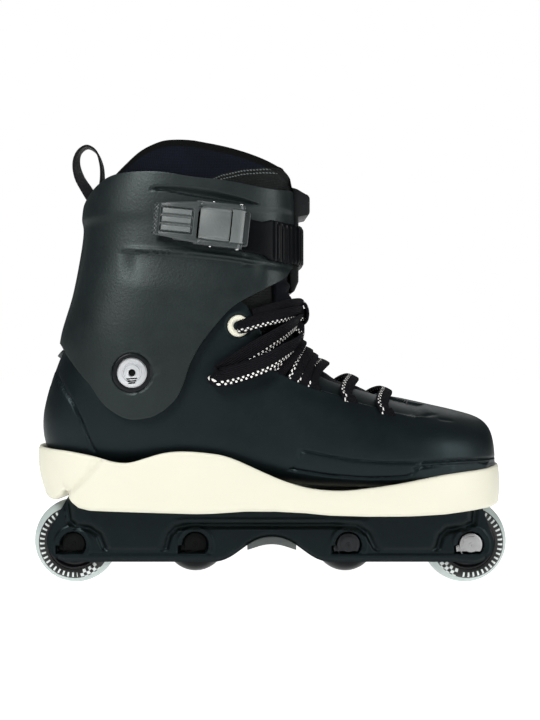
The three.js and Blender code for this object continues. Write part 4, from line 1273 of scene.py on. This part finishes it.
def make_strap():
    """A ribbed band with a narrow end at the buckle, a tail under the lever and a screw at the far end."""
    path, at = strap_path()
    share = np.linspace(-1, 1, 15)
    half = STRAP_HALF + (STRAP_TAIL_HALF - STRAP_HALF) * ease((26 - at) / 8)
    P = np.repeat(path[:, None], len(share), axis=1)
    P[..., 2] += half[:, None] * share
    ribbed = ease((at - 26) / 3) * ease((at[-1] - 40 - at) / 3)
    wave = ease(0.5 + 1.6 * np.sin(2 * math.pi * at / RIB_PITCH))
    lane = ease((1 - np.abs(share)) / 0.16)
    obj = surface("strap_skin", raised(P, 0.7 + (ribbed * wave)[:, None] * lane), STRAP_BLACK)
    thicken(obj, STRAP_WALL, 0.5)
    tail_path = [(-24, -48.2, 246.6), (-30, -48.3, 247.4), (-40, -48.1, 248.6), (-62, -47.5, 251)]
    tail = ribbon("tail", tail_path, [(0, 0, 1)] * 4, 17, 1.8, STRAP_BLACK)
    place(join([obj, tail]), CUFF, "strap", "strap")
    low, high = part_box("strap_screw")
    x, z = ((low[k] + high[k]) / 2 / MM for k in (0, 2))
    y = high[1] / MM
    profile = [(1.4, y - 1.2), (1.4, y - 0.2), (4, y - 0.2), (4.6, y - 1.2), (4.6, y - 2.4), (0.01, y - 2.4),
               (0.01, y - 1.2)]
    head = lathe("strap_screw_skin", rounded(profile, 0.2), STEEL, x, z, 48)
    place(head, CUFF, "steel", "strap_screw")


def buckle_space(obj):
    """Carries a mesh from the buckle's own frame into the skate's."""
    turn = Matrix.Rotation(BUCKLE_TILT, 4, "Y")
    obj.data.transform(Matrix.Translation(BUCKLE_AT * MM) @ turn)
    return obj


def cheek(name, outline, low, high, bevel):
    """A plate of the buckle that stands on the cuff: its outline is (x, y), drawn out along Z."""
    obj = plate(name, outline, low, high, BUCKLE_BLACK, bevel)
    obj.data.transform(Matrix.Rotation(math.radians(-90), 4, "X"))
    return obj


LEVER_TOP = spline([(-57.5, 1.4), (-55.5, -0.4), (-52, -1.9), (-45, -3.2), (-33, -3.8), (-20, -3.7),
                    (-6, -3.5), (0, -3.1), (3.8, -1.6)], 8)
# The lever's opening for the pawl: its two ends and half its width
OPENING = (-27.6, -5.2, 11.3)


def make_lever():
    """A tapered plate with a ribbed grey pad, an opening over the pawl, a grey bridge and two arms."""
    rear, front, across = OPENING
    xs = np.unique(np.concatenate([np.linspace(-57.5, 3, 190), [rear]]))
    zs = np.unique(np.concatenate([np.linspace(-14.5, 14.5, 110), [-across, across]]))
    X, Zg = np.meshgrid(xs, zs, indexing="ij")
    half = np.clip(10.9 + (X + 53) * 0.113, 10.4, 14.5)
    Z = Zg * half / 14.5
    Y = line_at(LEVER_TOP, X)
    h = np.zeros_like(X)
    for centre in (-5.6, 0, 5.6):
        block = np.maximum(np.abs(X + 41.6) - 9.8, np.abs(Z - centre) - 1.7)
        h += 0.9 * ease(-block / 0.5 + 0.5) - 0.9 * ridge(block - 0.7, 0.4)
    h -= 0.5 * ridge(X + 53.6, 0.5)
    h -= 0.5 * ease((np.abs(Zg) - 13.3) / 1.2)
    h += (X < -54.2) * 0.35 * np.sin(Z * 2.2) * np.sin(X * 2.6)
    h -= 1.3 * ease((X + 27) / 3) * ease((np.abs(Z) - 10.6) / 1.5)
    P = np.stack([X, Y - h, Z], axis=2)
    x_low, x_high = np.searchsorted(xs, (rear, front))
    z_low, z_high = np.searchsorted(zs, (-across, across))
    lever = surface("buckle_lever_skin", P, BUCKLE_BLACK, out=(0, -1, 0),
                    skip=lambda i, j: x_low <= i < x_high and z_low <= j < z_high)
    thicken(lever, 2.2, 0.35)
    lever.data.materials.append(PAWL_GREY)
    for face in lever.data.polygons:
        x, z = face.center.x / MM, abs(face.center.z / MM)
        face.material_index = int((x > -5.3 and z < 10.8) or (abs(x + 41.6) < 9.8 and z < 7.4))
    arm = rounded([(-29, -3.2), (-6, -3), (0, -2.9), (2.4, -1.4), (2.9, 0), (2.2, 1.9), (0, 2.8), (-22, 2.4),
                   (-30, -1)], 0.8)
    arms = [cheek("arm", arm, low, high, 0.4) for low, high in ((-14.4, -11.3), (11.3, 14.4))]
    place(buckle_space(join([lever, *arms])), LEVER, "buckle", "buckle_lever")


def make_pawl():
    xs = np.linspace(-26.4, -5.6, 50)
    zs = np.linspace(-10.6, 10.6, 44)
    X, Z = np.meshgrid(xs, zs, indexing="ij")
    Y = -2.6 - 0.9 * np.cos((X + 16) / 10.4 * math.pi / 2) + 0.6 * (Z / 10.6) ** 2
    h = -0.3 * ridge(np.abs(Z) - 8.8, 0.5)
    P = np.stack([X, Y - h, Z], axis=2)
    pawl = surface("buckle_pawl_skin", P, PAWL_GREY, out=(0, -1, 0))
    thicken(pawl, 1.3, 0.4)
    tooth = rounded([(-25.6, -2.4), (-23, -2.4), (-23.6, 2.1), (-25.2, 2.1)], 0.4)
    pawl = join([pawl, cheek("tooth", tooth, -7.5, 7.5, 0.3)])
    place(buckle_space(pawl), PAWL, "buckle", "buckle_pawl")


def make_buckle_base():
    floor = plate("buckle_base_skin", rounded(box_profile(-44, 7, -12, 12), 2.5, 4), 5.4, 7.6, BUCKLE_BLACK)
    ear = rounded([(-5, 6.4), (-4, -1.6), (0, -2.4), (4, -1.6), (5, 6.4)], 1.2, 3)
    ears = [cheek("ear", ear, low, high, 0.3) for low, high in ((-10.9, -9.4), (9.4, 10.9))]
    place(buckle_space(join([floor, *ears])), CUFF, "buckle", "buckle_base")


def pin(name, x, y, half, radius, body, node):
    """A steel pin along the buckle's own Z, with domed ends."""
    profile = [(0.01, -half), (radius * 0.8, -half), (radius, -half + 0.4), (radius, half - 0.4),
               (radius * 0.8, half), (0.01, half)]
    obj = lathe(name, profile, STEEL, 0, 0, 32)
    obj.data.transform(Matrix.Rotation(math.radians(90), 4, "X"))
    obj.data.transform(Matrix.Translation((x * MM, y * MM, 0)))
    place(buckle_space(obj), body, "steel", node)


def make_pins():
    pin("lever_pin_skin", 0, 0, 15.3, 1.45, CUFF, "lever_pin")
    pin("pawl_pin_skin", -18, -0.6, 15.1, 0.85, LEVER, "pawl_pin")


# ------------------------------------------------------------------ pull loop
def make_pull_loop():
    path = [(-126.5, -3, 273), (-131.6, -3.4, 281), (-136.8, -3, 290), (-139, -2, 300), (-137, 0, 308.6),
            (-131.4, 1.5, 312.6), (-125, 2, 308.8), (-121.6, 2, 300), (-120.8, 1.5, 291), (-121.4, 1, 283)]
    across = [(0.9, 0.6, 0.5), (0.85, 0.7, 0.4), (0.7, 0.9, 0.3), (0.4, 1, 0.1), (0.1, 1, 0), (0, 1, 0),
              (0, 1, 0), (0.1, 1, 0), (0.15, 1, 0), (0.2, 1, 0)]
    loop = ribbon("pull_loop_skin", path, across, 9.5, 1.4, WEBBING)
    place(loop, CUFF, "webbing", "pull_loop")


# ------------------------------------------------------------------ laces
def lace_over(name, at, low, lean, swing):
    """A lace over the instep: out of its slot, back, then leaning forward over the middle."""
    i = int(at)
    s = tuple(a + (b - a) * (at - i) for a, b in zip(FOOT[i], FOOT[i + 1]))
    P = around(s, np.linspace(-math.pi * 1.5, -math.pi * 0.5, 400), 1.7)
    P = P[P[:, 2] > low]
    share = np.linspace(-1, 1, 19)
    path = np.stack([np.interp(share, np.linspace(-1, 1, len(P)), P[:, k]) for k in range(3)], axis=1)
    out = np.abs(share)
    path[:, 0] += lean - swing * ease(out * 1.25) + swing * 0.45 * ease((out - 0.82) / 0.18)
    middle = np.array([s[0] + s[2], 0, s[1] + s[3]]) / 2
    for end in (0, -1):
        path[end] += (middle - path[end]) * 0.09
    return ribbon(name, path, [(1, 0, -0.42)] * len(path), 9.2, 2.0, LACE, crown=0.5)


def make_lace_rows():
    for k, (at, low) in enumerate(((5.2, 121.5), (6.15, 130), (7.35, 139)), 1):
        place(lace_over(f"lace_row_{k}_skin", at, low, 4, 9), BOOT, "lace", f"lace_row_{k}")
    crossings = [lace_over("lace_row_4_skin", 8.3, 146, 1, 2), lace_over("upper", 8.95, 150, 0, 1),
                 lace_over("under", 7.9, 143, 2, 3)]
    place(join(crossings), BOOT, "lace", "lace_row_4")


# Each band of a bow on the inner side: (points, width directions, width, thickness, crown).
BOW = [
    ([(20, 10, 186), (16, 25, 184), (8, 37, 178.5), (-3, 44.5, 171.5), (-18, 47.8, 162), (-33, 49, 152.5),
      (-39.5, 50.8, 149.3), (-36, 52.2, 147.6), (-22, 51.4, 151), (-6, 49.6, 157), (6, 43, 164),
      (15, 31, 169), (19, 16, 173)],
     [(0.45, 0, 1)] * 5 + [(0.62, 0, 0.85)] * 4 + [(0.45, 0, 1)] * 4, 13, 1.9, 0.6),
    ([(-24, 40.0, 181.5), (-20, 42.6, 182), (-10, 43.6, 185), (2, 41, 188), (12, 32.5, 190.5), (18, 20, 192),
      (21.5, 7, 193)], [(0.25, 0, 1)] * 7, 9.6, 1.8, 0.4),
    ([(-14, 41.6, 189), (-4, 42, 192), (6, 37, 195), (14, 28, 197), (19, 16, 198), (22, 5, 198)],
     [(0.25, 0, 1)] * 6, 9, 1.8, 0.4),
]
# Each turn of the knot: (points, width direction, width).
KNOT = [
    ([(15, -8, 198), (23, -7, 199.5), (26, -6, 194), (25, -5, 187), (19, -4, 183)], (0, 1, 0.15), 10),
    ([(14, 7, 196), (22, 6, 197), (25, 5, 192), (23.5, 4, 186), (17, 3, 182)], (0, 1, 0.15), 9),
    ([(16, -13, 190), (22.5, -8, 191), (24.6, 0, 190), (22.5, 8, 190), (16, 13, 189)], (0.1, 0, 1), 9.5),
    ([(17, -15, 184), (22, -9, 180), (23, 0, 177), (22, 9, 177), (17, 16, 180)], (0.1, 0, 1), 9.5),
]


def make_bow():
    for side, sign in SIDES:
        loop = join([ribbon(f"lace_loop_{side}_skin", [(x, sign * y, z) for x, y, z in path], across, width,
                            thickness, LACE, crown) for path, across, width, thickness, crown in BOW])
        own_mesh(loop)
        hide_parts(f"lace_loop_{side}")
        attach(loop, BOOT)
    knot = join([ribbon("lace_knot_skin", path, [across] * 5, width, 1.9, LACE, 0.5)
                 for path, across, width in KNOT])
    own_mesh(knot)
    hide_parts("lace_knot")
    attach(knot, BOOT)


# ------------------------------------------------------------------ what stays from the frame
def finish_nodes():
    looks = {"spacer": STEEL, "frame_bolt": DARK_STEEL}
    for name, node in NODES.items():
        for start, look in looks.items():
            if name.startswith(start):
                node.data.materials.clear()
                node.data.materials.append(look)


STEPS = (make_shell, make_cuff, make_soul_plate, make_frame, make_block, make_wheels, make_bearings,
         make_axles, make_pivots, make_eyelets, make_stop, make_liner, make_tongue, make_insole,
         make_guard, make_strap, make_lever, make_pawl, make_buckle_base, make_pins, make_pull_loop,
         make_lace_rows, make_bow, finish_nodes)
for step in STEPS:
    step()
